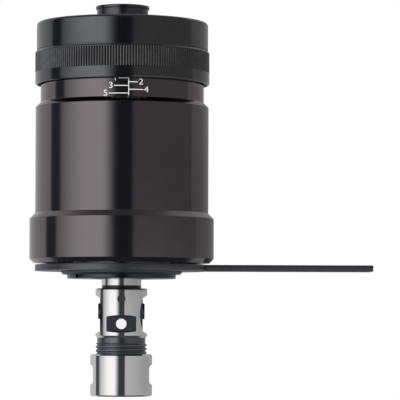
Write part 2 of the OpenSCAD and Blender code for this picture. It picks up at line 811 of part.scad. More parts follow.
// Spindle: pilot, seat of the double cone, shank, undercut and the stub inside the nose
module tap_spindle() {
    color("gainsboro") difference() {
        union() {
            bar(pilot_r, z_pilot, z_pilot - z_cone);
            bar(shank_r, z_cone, z_cone - z_nose - undercut_h);
            bar(undercut_r, z_nose + undercut_h, undercut_h);
            bar(pilot_r, z_nose, stub_h);
        }
        cross_bar(cone_pin_d / 2, -cone_r, cone_r, (z_land + z_land_foot) / 2, 0);
    }
}

// Double cone of the reversing clutch, pinned to the spindle
module clutch_cone() {
    color("burlywood") difference() {
        union() {
            frustum(cone_small_r, cone_r, z_cone, cone_h);
            bar(cone_r, z_land, z_land - z_land_foot);
            frustum(cone_r, cone_small_r, z_land_foot, cone_h);
        }
        bar(shank_r + seat_clear, z_cone + eps, z_cone - z_cone_foot + 2 * eps);
        cross_bar(cone_pin_d / 2, -cone_r - 1, cone_r + 1, (z_land + z_land_foot) / 2, 0);
    }
}

// Cross pin of the double cone
module cone_pin() {
    inset = 0.5;
    color("silver") cross_bar(cone_pin_d / 2 - seat_clear, inset - cone_r, cone_r - inset,
        (z_land + z_land_foot) / 2, 0);
}

// Button between the spindle's pilot and its upper spring
module upper_spring_seat() {
    color("silver") bar(pilot_r - 0.5, z_pilot + run_clear + upper_seat_h, upper_seat_h);
}

// Spring in the hub that pushes the spindle down
module upper_float_spring() {
    color("dimgray") coil_spring(coil_r = pilot_r - 0.4 - upper_wire_d / 2, wire_d = upper_wire_d,
        z_top = z_pilot_roof, z_foot = z_pilot + run_clear + upper_seat_h, turns = 7, steps = 16);
}

// Washer under the double cone
module lower_spring_seat() {
    color("silver") ring(spring_bore_r - 0.4, shank_r + pass_clear, z_cone_foot - run_clear, lower_seat_h);
}

// Spring in the sun gear that pushes the spindle up
module lower_float_spring() {
    color("dimgray") coil_spring(coil_r = (spring_bore_r + shank_r) / 2, wire_d = lower_wire_d,
        z_top = z_cone_foot - run_clear - lower_seat_h, z_foot = z_spring_floor, turns = 3.5, steps = 20);
}

// Slab that mills a flat on each side of a round bar, with sloping run-outs
module side_flats(flats, z, h, slope, reach) {
    rise = (reach - flats / 2) * tan(slope);
    for (side = [0, 180])
        rotate([0, 0, side]) rotate([90, 0, 0]) translate([0, 0, -reach]) linear_extrude(2 * reach)
            polygon([[flats / 2, z], [reach, z + rise], [reach, z - h - rise], [flats / 2, z - h]]);
}

// Chuck nose: ground barrel with flats, jaw bore, front pocket, relief, thread and collet bore
module chuck_nose() {
    pocket_floor = nose_flats / 2;
    pocket_mouth = nose_r + 1;
    floor_half = pocket_h / 2 - (pocket_mouth - pocket_floor) * tan(pocket_slope);
    color("gainsboro") difference() {
        union() {
            frustum(nose_r - ear_edge, nose_r, z_nose, ear_edge);
            bar(nose_r, z_nose - ear_edge, nose_h - ear_edge - bead_edge);
            frustum(nose_r, nose_r - bead_edge, z_nose_foot + bead_edge, bead_edge);
            bar(relief_r, z_nose_foot, relief_h);
            bar(thread_r, z_thread, thread_len);
        }
        side_flats(nose_flats, z_nose - flats_drop, flats_h, flats_slope, nose_r + 1);
        bar(pilot_r + seat_clear, z_nose + eps, stub_h + 2 * eps);
        bar(tap_room_r, z_nose - stub_h, nose_h + relief_h + thread_len);
        bar(collet_bore_r, z_collet + pass_clear, z_collet + pass_clear - z_thread_foot + eps);
        cross_bar(jaw_bore_r, -nose_r - 1, nose_r + 1, z_jaw, 0);
        cross_bar(set_screw_d / 2, pilot_r, nose_r + 1, z_set_screw, -90);
        cross_bar(front_pin_d / 2, 0, nose_r + 1, z_pocket, -90);
        translate([-nose_r, 0, z_pocket]) rotate([90, 0, 90]) linear_extrude(2 * nose_r)
            polygon([[-pocket_floor, -floor_half], [-pocket_floor, floor_half],
                [-pocket_mouth, pocket_h / 2], [-pocket_mouth, -pocket_h / 2]]);
    }
}

// Set screw that locks the nose to the spindle's stub
module nose_set_screw() {
    inset = 0.7;
    socket_depth = 1.4;
    color("dimgray") difference() {
        cross_bar(set_screw_d / 2 - seat_clear, pilot_r + seat_clear, nose_r - inset, z_set_screw, -90);
        translate([0, -nose_r + inset - eps, z_set_screw]) rotate([-90, 0, 0])
            cylinder(d = set_screw_d * 0.5, h = socket_depth, $fn = 6);
    }
}

// Pin in the front pocket
module front_pin() {
    stand_out = 0.25;
    color("gainsboro") cross_bar(front_pin_d / 2 - seat_clear, tap_room_r + pass_clear,
        nose_flats / 2 + stand_out, z_pocket, -90);
}

// A jaw in the cross bore, with a shallow vee for the square of the tap
module jaw(side) {
    vee = 0.7;
    color("dimgray") rotate([0, 0, side]) difference() {
        cross_bar(jaw_d / 2, jaw_gap / 2, jaw_gap / 2 + jaw_len, z_jaw, 0);
        translate([jaw_gap / 2, 0, z_jaw]) rotate([0, 0, 45])
            cube([vee * sqrt(2), vee * sqrt(2), 2 * jaw_d], center = true);
    }
}

module jaw_left() { jaw(180); }
module jaw_right() { jaw(0); }

// A jaw screw behind its jaw, with a hexagon socket
module jaw_screw(side) {
    socket_af = 3;
    socket_depth = 1.8;
    color("#202226") rotate([0, 0, side]) difference() {
        cross_bar(jaw_d / 2, jaw_gap / 2 + jaw_len + run_clear, jaw_screw_reach, z_jaw, 0);
        translate([jaw_screw_reach + eps, 0, z_jaw]) rotate([0, -90, 0])
            cylinder(r = socket_af / sqrt(3), h = socket_depth, $fn = 6);
    }
}

module jaw_screw_left() { jaw_screw(180); }
module jaw_screw_right() { jaw_screw(0); }

// Places of the collet's blades
module blade_places() {
    for (i = [0 : blade_count - 1])
        rotate([0, 0, i * 360 / blade_count]) children();
}

// Rubber collet, slotted for its blades
module tap_collet() {
    color("#151515") difference() {
        ring(collet_r, tap_d / 2, z_collet, collet_len);
        blade_places() translate([blade_inner_r, -blade_t / 2, z_nut_floor - eps])
            cube([blade_outer_r - blade_inner_r, blade_t, collet_len + 2 * eps]);
    }
}

// Steel blades moulded into the collet
module collet_blades() {
    color("silver") blade_places()
        translate([blade_inner_r + seat_clear, -blade_t / 2 + seat_clear, z_nut_floor])
            cube([blade_outer_r - blade_inner_r - 2 * seat_clear, blade_t - 2 * seat_clear, collet_len]);
}

// Collet nut with two wrench flats
module collet_nut() {
    edge = 0.5;
    slope = 45;
    color("whitesmoke") difference() {
        union() {
            frustum(nut_r - edge, nut_r, z_nut, edge);
            bar(nut_r, z_nut - edge, nut_h - 2 * edge);
            frustum(nut_r, nut_r - edge, z_nut_foot + edge, edge);
        }
        side_flats(nut_flats, z_nut - nut_flat_drop, nut_flat_h, slope, nut_r + 1);
        bar(thread_r + run_clear, z_nut + eps, z_nut - z_thread_foot + 1);
        bar(collet_r + run_clear, z_thread_foot, z_thread_foot - z_nut_floor);
        bar(nut_hole_r, z_nut_floor + eps, nut_floor_h + 2 * eps);
    }
}

drive_hub();
torque_cap();
thrust_race();
clutch_spring();
pressure_plate();
friction_disc_upper();
friction_disc_lower();
housing();
hub_bearing_outer();
hub_bearing_inner();
hub_bearing_balls();
hub_bearing_cage();
hub_snap_ring();
forward_cone();
spacer_sleeve();
ring_gear();
sun_gear();
planet_1();
planet_2();
planet_3();
planet_pins();
planet_carrier();
main_bearing_outer();
main_bearing_inner();
main_bearing_balls();
main_bearing_cage();
bearing_retaining_ring();
spindle_bush();
stop_plate();
clamp_disc();
seal_retainer();
shaft_seal();
cover_screws();
tap_spindle();
clutch_cone();
cone_pin();
upper_spring_seat();
upper_float_spring();
lower_spring_seat();
lower_float_spring();
chuck_nose();
nose_set_screw();
front_pin();
jaw_left();
jaw_right();
jaw_screw_left();
jaw_screw_right();
tap_collet();
collet_blades();
collet_nut();
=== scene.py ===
"""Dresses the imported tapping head: turned metal pieces, knurl, thread, dial marks, finishes, light and camera."""
import json
import logging
import math
from dataclasses import dataclass, field
from enum import Enum
from typing import Callable, Iterable, Optional, Sequence

import bmesh
import bpy
from mathutils import Matrix, Vector


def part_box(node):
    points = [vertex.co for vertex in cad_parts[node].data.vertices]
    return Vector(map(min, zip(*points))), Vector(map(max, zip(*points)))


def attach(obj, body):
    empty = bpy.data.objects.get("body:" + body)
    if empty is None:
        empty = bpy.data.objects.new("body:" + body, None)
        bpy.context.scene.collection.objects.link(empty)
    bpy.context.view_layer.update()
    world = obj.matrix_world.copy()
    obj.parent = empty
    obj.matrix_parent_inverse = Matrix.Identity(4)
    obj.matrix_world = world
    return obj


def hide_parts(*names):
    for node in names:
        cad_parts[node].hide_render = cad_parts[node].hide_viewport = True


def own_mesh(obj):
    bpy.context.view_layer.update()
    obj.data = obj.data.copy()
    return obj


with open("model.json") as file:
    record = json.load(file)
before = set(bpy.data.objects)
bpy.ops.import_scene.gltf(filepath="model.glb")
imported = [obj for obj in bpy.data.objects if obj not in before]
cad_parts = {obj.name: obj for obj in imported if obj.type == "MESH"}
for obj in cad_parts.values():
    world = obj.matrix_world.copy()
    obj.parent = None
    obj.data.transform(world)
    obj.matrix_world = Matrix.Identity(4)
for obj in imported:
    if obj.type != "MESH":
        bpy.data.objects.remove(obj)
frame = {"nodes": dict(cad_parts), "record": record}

LOG = logging.getLogger("tapping_head")
MM = 0.001
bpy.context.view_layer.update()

Point = tuple[float, float]
Corner = tuple[float, float, float]
Colour = tuple[float, float, float]
Label = str | int
Mesh = bmesh.types.BMesh
Node = bpy.types.Node
Piece = bpy.types.Object
Socket = bpy.types.NodeSocket
Tree = bpy.types.NodeTree


class Side(Enum):
    """A side of the head as the photograph shows it."""

    LEFT = -1
    RIGHT = 1


class Shading(Enum):
    """Angle in degrees above which an edge is drawn sharp."""

    TURNED = 30.0
    MILLED = 24.0
    SOFT = 60.0


# Nodes

def feed(tree: Tree, node: Node, inputs: dict[Label, object]) -> None:
    """Feeds a node's inputs with sockets or plain values.

    Args:
        tree: The tree that holds the node.
        node: The node.
        inputs: Socket or value for each input, by name or number.
    """
    for label, value in inputs.items():
        if isinstance(value, Socket):
            tree.links.new(value, node.inputs[label])
        else:
            node.inputs[label].default_value = value


def add(tree: Tree, kind: str, inputs: Optional[dict[Label, object]] = None, **values: object) -> Node:
    """Adds a node, sets its properties and feeds its inputs.

    Args:
        tree: The tree that gets the node.
        kind: The node's type.
        inputs: Socket or value for each input that isn't left as it is.
        **values: Properties to set on it.

    Returns:
        The new node.
    """
    node = tree.nodes.new(kind)
    for label, value in values.items():
        setattr(node, label, value)
    feed(tree, node, inputs or {})
    return node


def maths(tree: Tree, operation: str, first: Socket | float, second: Socket | float) -> Socket:
    """Adds a Math node.

    Args:
        tree: The tree that gets the node.
        operation: The operation's name.
        first: First socket or number.
        second: Second socket or number.

    Returns:
        The node's output socket.
    """
    return add(tree, "ShaderNodeMath", {0: first, 1: second}, operation=operation).outputs[0]


def ramp(tree: Tree, value: Socket, low: float, high: float, to_low: float = 0.0, to_high: float = 1.0) -> Socket:
    """Adds a smooth Map Range node.

    Args:
        tree: The tree that gets the node.
        value: The socket to map.
        low: Value that gives to_low.
        high: Value that gives to_high.
        to_low: Result at low.
        to_high: Result at high.

    Returns:
        The node's result socket.
    """
    node = add(tree, "ShaderNodeMapRange", {
        "Value": value, "From Min": low, "From Max": high, "To Min": to_low, "To Max": to_high},
        interpolation_type="SMOOTHSTEP")
    return node.outputs["Result"]


def mixed(tree: Tree, share: Socket, first: Socket | Colour, second: Colour) -> Socket:
    """Adds a Mix node for two colours.

    Args:
        tree: The tree that gets the node.
        share: Share of the second colour.
        first: First socket or colour.
        second: Second colour.

    Returns:
        The node's colour socket.
    """
    start = first if isinstance(first, Socket) else (*first, 1.0)
    return add(tree, "ShaderNodeMix", {0: share, 6: start, 7: (*second, 1.0)}, data_type="RGBA").outputs[2]


# Shader node groups

def new_group(name: str, inputs: dict[str, float], outputs: Sequence[str]) -> Tree:
    """Starts a shader node group with float inputs and outputs.

    Args:
        name: Name of the group.
        inputs: Default value of each input.
        outputs: Name of each output.

    Returns:
        The node tree, with its input and output nodes in it.
    """
    tree = bpy.data.node_groups.new(name, "ShaderNodeTree")
    for label, value in inputs.items():
        socket = tree.interface.new_socket(label, in_out="INPUT", socket_type="NodeSocketFloat")
        socket.default_value = value
    for label in outputs:
        tree.interface.new_socket(label, in_out="OUTPUT", socket_type="NodeSocketFloat")
    tree.nodes.new("NodeGroupInput").name = "In"
    tree.nodes.new("NodeGroupOutput").name = "Out"
    return tree


def turned_grain_group() -> Tree:
    """Builds the lathe lines that run round a turned piece: a height and a mask along Z.

    Returns:
        The node group.
    """
    line_detail, line_share, patch_scale = 3.0, 0.6, 140.0
    tree = new_group("turned_grain", {"Lines per mm": 9.0, "Unevenness": 0.5}, ("Height", "Mask"))
    source = tree.nodes["In"]
    place = add(tree, "ShaderNodeTexCoord").outputs["Object"]
    split = add(tree, "ShaderNodeSeparateXYZ", {0: place})
    along = maths(tree, "MULTIPLY", split.outputs["Z"], 1.0 / MM)
    fine = maths(tree, "MULTIPLY", along, source.outputs["Lines per mm"])
    lines = add(tree, "ShaderNodeTexNoise", {"Scale": 1.0, "Detail": line_detail, "W": fine},
                noise_dimensions="1D").outputs[0]
    patches = add(tree, "ShaderNodeTexNoise", {"Scale": patch_scale, "Vector": place}).outputs[0]
    uneven = maths(tree, "MULTIPLY", patches, source.outputs["Unevenness"])
    mask = maths(tree, "ADD", maths(tree, "MULTIPLY", lines, line_share), uneven)
    feed(tree, tree.nodes["Out"], {"Height": lines, "Mask": mask})
    return tree


def mottle_group() -> Tree:
    """Builds the cloudy change of tone and the fine pitting of a finished skin.

    Returns:
        The node group.
    """
    tree = new_group("skin_mottle", {"Cloud scale": 55.0, "Pit scale": 2600.0}, ("Cloud", "Pits"))
    source = tree.nodes["In"]
    place = add(tree, "ShaderNodeTexCoord").outputs["Object"]
    for label, scale, detail in (("Cloud", "Cloud scale", 5.0), ("Pits", "Pit scale", 2.0)):
        noise = add(tree, "ShaderNodeTexNoise", {"Detail": detail, "Vector": place, "Scale": source.outputs[scale]})
        feed(tree, tree.nodes["Out"], {label: noise.outputs[0]})
    return tree


def edge_wear_group() -> Tree:
    """Builds a mask of rubbed edges, broken up by noise.

    Returns:
        The node group.
    """
    noise_scale, noise_span, bend_span = 420.0, (0.35, 0.65), (0.0, 0.09)
    tree = new_group("edge_wear", {"Start": 0.56, "Strength": 1.0}, ("Mask",))
    source = tree.nodes["In"]
    point = add(tree, "ShaderNodeNewGeometry").outputs["Pointiness"]
    place = add(tree, "ShaderNodeTexCoord").outputs["Object"]
    noise = add(tree, "ShaderNodeTexNoise", {"Scale": noise_scale, "Vector": place}).outputs[0]
    edge = ramp(tree, maths(tree, "SUBTRACT", point, source.outputs["Start"]), *bend_span)
    broken = maths(tree, "MULTIPLY", edge, ramp(tree, noise, *noise_span))
    feed(tree, tree.nodes["Out"], {"Mask": maths(tree, "MULTIPLY", broken, source.outputs["Strength"])})
    return tree


class Effects:
    """The shader groups that the finishes share, each built once."""

    def __init__(self) -> None:
        """Builds the groups."""
        self.grain = turned_grain_group()
        self.mottle = mottle_group()
        self.wear = edge_wear_group()


# Finishes

CLOUD_SPAN = (0.3, 0.7)
ROUGH_SPAN = (0.25, 0.85)


@dataclass(frozen=True)
class Finish:
    """A metal or rubber finish with cloudy tone, lathe grain and rubbed edges."""

    name: str
    colour: Colour
    shade: Colour  # colour of its darker clouds
    metallic: float = 1.0
    roughness: float = 0.22  # roughness of the smooth patches
    rough_span: float = 0.1  # how much rougher the rest is
    lines: float = 0.0  # lathe lines per millimetre; none where it is 0
    line_height: float = 0.0004  # height of the lathe lines, in millimetres
    pit_height: float = 0.0004  # height of the fine pitting, in millimetres
    wear: float = 0.0  # strength of the rubbed edges
    worn: Colour = (0.5, 0.5, 0.5)  # colour of the rubbed edges

    def build(self, effects: Effects) -> bpy.types.Material:
        """Builds the material.

        Args:
            effects: The shared shader groups.

        Returns:
            The material.
        """
        material = bpy.data.materials.new(self.name)
        material.use_nodes = True
        tree = material.node_tree
        mottle = add(tree, "ShaderNodeGroup", node_tree=effects.mottle)
        mask, height, rise = mottle.outputs["Cloud"], mottle.outputs["Pits"], self.pit_height
        colour = mixed(tree, ramp(tree, mask, *CLOUD_SPAN), self.shade, self.colour)
        if self.wear > 0.0:
            wear = add(tree, "ShaderNodeGroup", node_tree=effects.wear)
            feed(tree, wear, {"Strength": self.wear})
            colour = mixed(tree, wear.outputs["Mask"], colour, self.worn)
        if self.lines > 0.0:
            grain = add(tree, "ShaderNodeGroup", node_tree=effects.grain)
            feed(tree, grain, {"Lines per mm": self.lines})
            mask, height, rise = grain.outputs["Mask"], grain.outputs["Height"], self.line_height
        bump = add(tree, "ShaderNodeBump", {"Strength": 1.0, "Distance": rise * MM, "Height": height})
        rough = ramp(tree, mask, *ROUGH_SPAN, self.roughness, self.roughness + self.rough_span)
        feed(tree, tree.nodes["Principled BSDF"], {
            "Metallic": self.metallic, "Base Color": colour, "Roughness": rough, "Normal": bump.outputs[0]})
        return material


CAP_ANODISE = Finish("cap_anodise", (0.118, 0.127, 0.134), (0.105, 0.115, 0.123), roughness=0.12, rough_span=0.05,
                     lines=6.0, line_height=0.0002, wear=0.25, worn=(0.3, 0.3, 0.31))
BODY_ANODISE = Finish("body_anodise", (0.18, 0.152, 0.164), (0.178, 0.152, 0.162), roughness=0.1, rough_span=0.05,
                      lines=6.0, line_height=0.0002, wear=0.3, worn=(0.34, 0.33, 0.34))
BLACK_OXIDE = Finish("black_oxide", (0.085, 0.095, 0.115), (0.06, 0.068, 0.085), roughness=0.22, rough_span=0.08,
                     wear=0.12, worn=(0.22, 0.22, 0.23))
POCKET_OXIDE = Finish("pocket_oxide", (0.15, 0.17, 0.19), (0.13, 0.15, 0.17), roughness=0.32, rough_span=0.08)
SCREW_OXIDE = Finish("screw_oxide", (0.25, 0.24, 0.23), (0.22, 0.21, 0.2), roughness=0.45, rough_span=0.1,
                     wear=0.3, worn=(0.22, 0.22, 0.22))
# painted shade: a dark brown for the undercut groove on the ground steel spindle, standing in for the shade that falls
# in it
GROOVE_SHADE = Finish("groove_painted_shade", (0.065, 0.06, 0.055), (0.055, 0.05, 0.045), roughness=0.3, rough_span=0.1)
PLATE_OXIDE = Finish("plate_oxide", (0.14, 0.145, 0.168), (0.122, 0.128, 0.148), roughness=0.38, rough_span=0.08,
                     wear=0.12, worn=(0.22, 0.22, 0.23))
RELIEF_OXIDE = Finish("relief_oxide", (0.16, 0.175, 0.195), (0.14, 0.155, 0.175), roughness=0.25, rough_span=0.08)
DISC_OXIDE = Finish("disc_oxide", (0.165, 0.2, 0.225), (0.145, 0.178, 0.2), roughness=0.5, rough_span=0.08)
THREAD_OXIDE = Finish("thread_oxide", (0.22, 0.245, 0.275), (0.19, 0.215, 0.245), roughness=0.42, rough_span=0.08)
HUB_OXIDE = Finish("hub_oxide", (0.106, 0.1, 0.118), (0.105, 0.098, 0.115), roughness=0.2, rough_span=0.1,
                   lines=6.0, wear=0.3, worn=(0.25, 0.25, 0.26))
GROUND_STEEL = Finish("ground_steel", (0.78, 0.775, 0.755), (0.72, 0.715, 0.70), roughness=0.05, rough_span=0.05,
                      lines=14.0, line_height=0.00006)
PIN_STEEL = Finish("pin_steel", (0.92, 0.915, 0.9), (0.88, 0.875, 0.86), metallic=0.1, roughness=0.45, rough_span=0.1)
HARD_STEEL = Finish("hard_steel", (0.5, 0.5, 0.5), (0.4, 0.4, 0.41), roughness=0.25, rough_span=0.12, lines=6.0)
SPRING_STEEL = Finish("spring_steel", (0.3, 0.3, 0.31), (0.22, 0.22, 0.23), roughness=0.35, rough_span=0.12)
BEARING_STEEL = Finish("bearing_steel", (0.7, 0.7, 0.7), (0.62, 0.62, 0.62), roughness=0.1, rough_span=0.06)
BRONZE = Finish("bronze", (0.62, 0.45, 0.22), (0.5, 0.35, 0.16), roughness=0.32, rough_span=0.14)
LINING = Finish("friction_lining", (0.3, 0.18, 0.1), (0.2, 0.12, 0.07), metallic=0.0, roughness=0.75,
                rough_span=0.15, pit_height=0.02)
RUBBER = Finish("seal_rubber", (0.03, 0.03, 0.031), (0.022, 0.022, 0.023), metallic=0.0, roughness=0.55,
                rough_span=0.2, pit_height=0.004)
DIAL_WHITE = Finish("dial_white", (0.82, 0.82, 0.82), (0.72, 0.72, 0.73), metallic=0.0, roughness=0.5,
                    rough_span=0.15, pit_height=0.002)
SLOT_FINISH: dict[str, Finish] = {
    "black_anodised": CAP_ANODISE, "brown_anodised": BODY_ANODISE, "black_oxide": BLACK_OXIDE,
    "ground_steel": GROUND_STEEL, "hard_steel": HARD_STEEL, "spring_steel": SPRING_STEEL,
    "bearing_steel": BEARING_STEEL, "bronze": BRONZE, "friction_lining": LINING, "seal_rubber": RUBBER,
}


class Paintbox:
    """Materials of the finishes, each built once."""

    def __init__(self) -> None:
        """Starts with the shared effects and no material."""
        self.effects = Effects()
        self.made: dict[str, bpy.types.Material] = {}

    def of(self, finish: Finish) -> bpy.types.Material:
        """Gives a finish's material.

        Args:
            finish: The finish.

        Returns:
            Its material.
        """
        if finish.name not in self.made:
            self.made[finish.name] = finish.build(self.effects)
        return self.made[finish.name]


PAINTS = Paintbox()


# Mesh building

AXIS_R = 1e-6
FILLET_STEPS = 5
FILLET_SHARE = 0.48
HOLD = 0.02  # distance from a corner to the point that keeps its step straight
LONG_STEP = 20 * HOLD
PAINT_SLACK = 0.1  # slack in choosing the faces that get a second finish
CUT_PAST = 1.0  # how far a cutter reaches past what it cuts
FINE_TURN = 256
FRONT = Matrix.Rotation(math.radians(90.0), 4, "X")


def held(profile: Sequence[Point]) -> list[Point]:
    """Adds a point near both ends of each long step, so that smooth shading leaves the step straight.

    Args:
        profile: Radius and level of each point, in millimetres.

    Returns:
        The profile with the points added.
    """
    points: list[Point] = []
    for (r0, z0), (r1, z1) in zip(profile, [*profile[1:], profile[0]]):
        points.append((r0, z0))
        length = math.hypot(r1 - r0, z1 - z0)
        if length > LONG_STEP and max(r0, r1) > 0.0:
            for share in (HOLD / length, 1.0 - HOLD / length):
                points.append((r0 + (r1 - r0) * share, z0 + (z1 - z0) * share))
    return points


def rounded(corners: Sequence[Corner]) -> list[Point]:
    """Rounds the corners of a closed profile.

    Args:
        corners: Radius, level and fillet of each corner, in millimetres.

    Returns:
        The points of the rounded profile, in millimetres.
    """
    points: list[Point] = []
    count = len(corners)
    for index, (r, z, fillet) in enumerate(corners):
        here = Vector((r, z))
        if fillet <= 0.0:
            points.append((r, z))
            continue
        before = Vector(corners[index - 1][:2]) - here
        after = Vector(corners[(index + 1) % count][:2]) - here
        half = before.angle(after) / 2.0
        reach = min(fillet / math.tan(half), before.length * FILLET_SHARE, after.length * FILLET_SHARE)
        start, end = here + before.normalized() * reach, here + after.normalized() * reach
        for step in range(FILLET_STEPS + 1):
            t = step / FILLET_STEPS
            point = start * (1 - t) ** 2 + here * (2 * t * (1 - t)) + end * t ** 2
            points.append((point.x, point.y))
    return held(points)


def circle(r: float, count: int) -> list[Point]:
    """Gives points on a circle, in the order of their angle.

    Args:
        r: Radius of the circle.
        count: How many points.

    Returns:
        The points.
    """
    turns = (2 * math.pi * k / count for k in range(count))
    return [(r * math.cos(turn), r * math.sin(turn)) for turn in turns]


def quarter(steps: int) -> list[Point]:
    """Gives the cosine and sine of angles from 0 to 90 degrees.

    Args:
        steps: Steps of the quarter turn.

    Returns:
        A cosine and a sine for each angle.
    """
    turns = (math.pi / 2 * k / steps for k in range(steps + 1))
    return [(math.cos(turn), math.sin(turn)) for turn in turns]


def bridge(mesh: Mesh, loops: Sequence[Sequence[bmesh.types.BMVert]]) -> None:
    """Joins each loop of points to the next with faces that point outwards.

    Args:
        mesh: The mesh of the points.
        loops: The loops, each with as many points; a pole is one point repeated.
    """
    for first, second in zip(loops, loops[1:]):
        for k in range(len(first)):
            n = (k + 1) % len(first)
            corners = list(dict.fromkeys((first[k], first[n], second[n], second[k])))
            if len(corners) > 2:
                mesh.faces.new(corners)
    bmesh.ops.recalc_face_normals(mesh, faces=mesh.faces)


def lathe(profile: Sequence[Point], segments: int = 192) -> Mesh:
    """Turns a closed profile about the Z axis.

    Args:
        profile: Radius and level of each point, in millimetres.
        segments: Steps round the axis.

    Returns:
        The turned solid, in metres.
    """
    mesh = bmesh.new()
    rings: list[list[bmesh.types.BMVert]] = []
    for r, z in profile:
        if r < AXIS_R:
            rings.append([mesh.verts.new((0.0, 0.0, z * MM))] * segments)
        else:
            rings.append([mesh.verts.new((x, y, z * MM)) for x, y in circle(r * MM, segments)])
    bridge(mesh, [*rings, rings[0]])
    return mesh


def prism(outline: Sequence[Point], low: float, high: float) -> Mesh:
    """Extrudes a flat outline along Z.

    Args:
        outline: Corners in X and Y, in millimetres.
        low: Lower level, in millimetres.
        high: Upper level, in millimetres.

    Returns:
        The solid, in metres.
    """
    mesh = bmesh.new()
    ends = [[mesh.verts.new((x * MM, y * MM, z * MM)) for x, y in outline] for z in (low, high)]
    for end in ends:
        mesh.faces.new(end)
    bridge(mesh, ends)
    return mesh


def shade(data: bpy.types.Mesh, shading: Shading) -> None:
    """Shades a mesh smooth, with edges over the angle left sharp."""
    data.shade_smooth()
    data.set_sharp_from_angle(angle=math.radians(shading.value))


def to_object(name: str, mesh: Mesh, finish: Finish, shading: Shading = Shading.TURNED,
              place: Optional[Matrix] = None) -> Piece:
    """Makes an object of a mesh, with its place in the mesh.

    Args:
        name: Name of the piece.
        mesh: The mesh, which is freed.
        finish: Its finish.
        shading: How its edges are shaded.
        place: A move or turn that is applied to the mesh.

    Returns:
        The object, linked to the scene.
    """
    data = bpy.data.meshes.new(name)
    if place is not None:
        mesh.transform(place)
    mesh.to_mesh(data)
    mesh.free()
    data.materials.append(PAINTS.of(finish))
    shade(data, shading)
    piece = bpy.data.objects.new(name, data)
    bpy.context.scene.collection.objects.link(piece)
    return piece


def repaint(piece: Piece, finish: Finish, chosen: Callable[[float, float], bool]) -> None:
    """Gives some faces of a piece a second finish.

    Args:
        piece: The piece.
        finish: The second finish.
        chosen: Says from the radius and level of a face's centre, in millimetres, if it gets that finish.
    """
    piece.data.materials.append(PAINTS.of(finish))
    for face in piece.data.polygons:
        if chosen(face.center.xy.length / MM, face.center.z / MM):
            face.material_index = 1


def settle(piece: Piece, shading: Shading) -> Piece:
    """Turns a piece and its modifiers into a plain mesh.

    Args:
        piece: The piece.
        shading: How its edges are shaded.

    Returns:
        The same piece.
    """
    graph = bpy.context.evaluated_depsgraph_get()
    graph.update()
    done = bpy.data.meshes.new_from_object(piece.evaluated_get(graph))
    piece.modifiers.clear()
    piece.data = done
    shade(done, shading)
    return piece


def new_geometry(name: str, inputs: dict[str, str]) -> tuple[Tree, Node]:
    """Starts a geometry node tree with named inputs and one geometry output.

    Args:
        name: Name of the tree.
        inputs: Socket type of each input besides Level and Finish, which every tree has.

    Returns:
        The tree and its input node.
    """
    tree = bpy.data.node_groups.new(name, "GeometryNodeTree")
    tree.interface.new_socket("Geometry", in_out="OUTPUT", socket_type="NodeSocketGeometry")
    for label, kind in {**inputs, "Level": "NodeSocketFloat", "Finish": "NodeSocketMaterial"}.items():
        tree.interface.new_socket(label, in_out="INPUT", socket_type=kind)
    return tree, tree.nodes.new("NodeGroupInput")


def end_geometry(tree: Tree, source: Node, shape: Socket) -> Tree:
    """Ends a geometry node tree: lifts the shape to its level, makes instances real and sets the material.

    Args:
        tree: The tree.
        source: Its input node.
        shape: The shape round the origin.

    Returns:
        The same tree.
    """
    lift = add(tree, "ShaderNodeCombineXYZ", {"Z": source.outputs["Level"]})
    move = add(tree, "GeometryNodeTransform", {"Geometry": shape, "Translation": lift.outputs[0]})
    real = add(tree, "GeometryNodeRealizeInstances", {0: move.outputs[0]})
    paint = add(tree, "GeometryNodeSetMaterial", {"Geometry": real.outputs[0], "Material": source.outputs["Finish"]})
    feed(tree, tree.nodes.new("NodeGroupOutput"), {"Geometry": paint.outputs[0]})
    return tree


def grow(name: str, tree: Tree, values: dict[str, object], shading: Shading) -> Piece:
    """Makes a piece from a geometry node tree and turns it into a plain mesh.

    Args:
        name: Name of the piece.
        tree: The tree.
        values: Value of each of its inputs.
        shading: How the piece's edges are shaded.

    Returns:
        The piece.
    """
    piece = bpy.data.objects.new(name, bpy.data.meshes.new(name))
    bpy.context.scene.collection.objects.link(piece)
    modifier = piece.modifiers.new(tree.name, "NODES")
    modifier.node_group = tree
    for item in tree.interface.items_tree:
        if item.in_out == "INPUT":
            modifier[item.identifier] = values[item.name]
    return settle(piece, shading)


def carve(piece: Piece, cutters: Iterable[Piece], shading: Shading) -> Piece:
    """Cuts shapes out of a piece; the cut faces take the cutter's finish.

    Args:
        piece: The piece.
        cutters: The shapes, which are deleted.
        shading: How the result is shaded.

    Returns:
        The same piece.
    """
    tools = list(cutters)
    for tool in tools:
        cut = piece.modifiers.new(tool.name, "BOOLEAN")
        cut.operation, cut.solver, cut.object = "DIFFERENCE", "EXACT", tool
        cut.material_mode = "TRANSFER"
    settle(piece, shading)
    for tool in tools:
        bpy.data.objects.remove(tool)
    return piece


def dress(piece: Piece, body: str, slot: str, *nodes: str) -> Piece:
    """Rides a piece on its body and hides the nodes that it replaces.

    Args:
        piece: The finished piece.
        body: The body that it moves with.
        slot: Not used.
        *nodes: The nodes that it replaces.

    Returns:
        The same piece.
    """
    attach(piece, body)
    if nodes:
        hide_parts(*nodes)
    LOG.info("%s rides on %s, %d faces", piece.name, body, len(piece.data.polygons))
    return piece


def level(node: str) -> Point:
    """Gives a node's lowest and highest level, in millimetres."""
    low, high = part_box(node)
    return low.z / MM, high.z / MM


def depth(node: str) -> Point:
    """Gives how far a node in front of the axis starts and ends from it, in millimetres."""
    low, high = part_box(node)
    return -high.y / MM, -low.y / MM


def radius(node: str) -> float:
    """Gives the radius of a node that is round about Z or X, in millimetres."""
    low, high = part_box(node)
    return (high.y - low.y) / 2.0 / MM


def radius_x(node: str) -> float:
    """Gives the radius of a node that is round about Y, in millimetres."""
    low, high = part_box(node)
    return (high.x - low.x) / 2.0 / MM


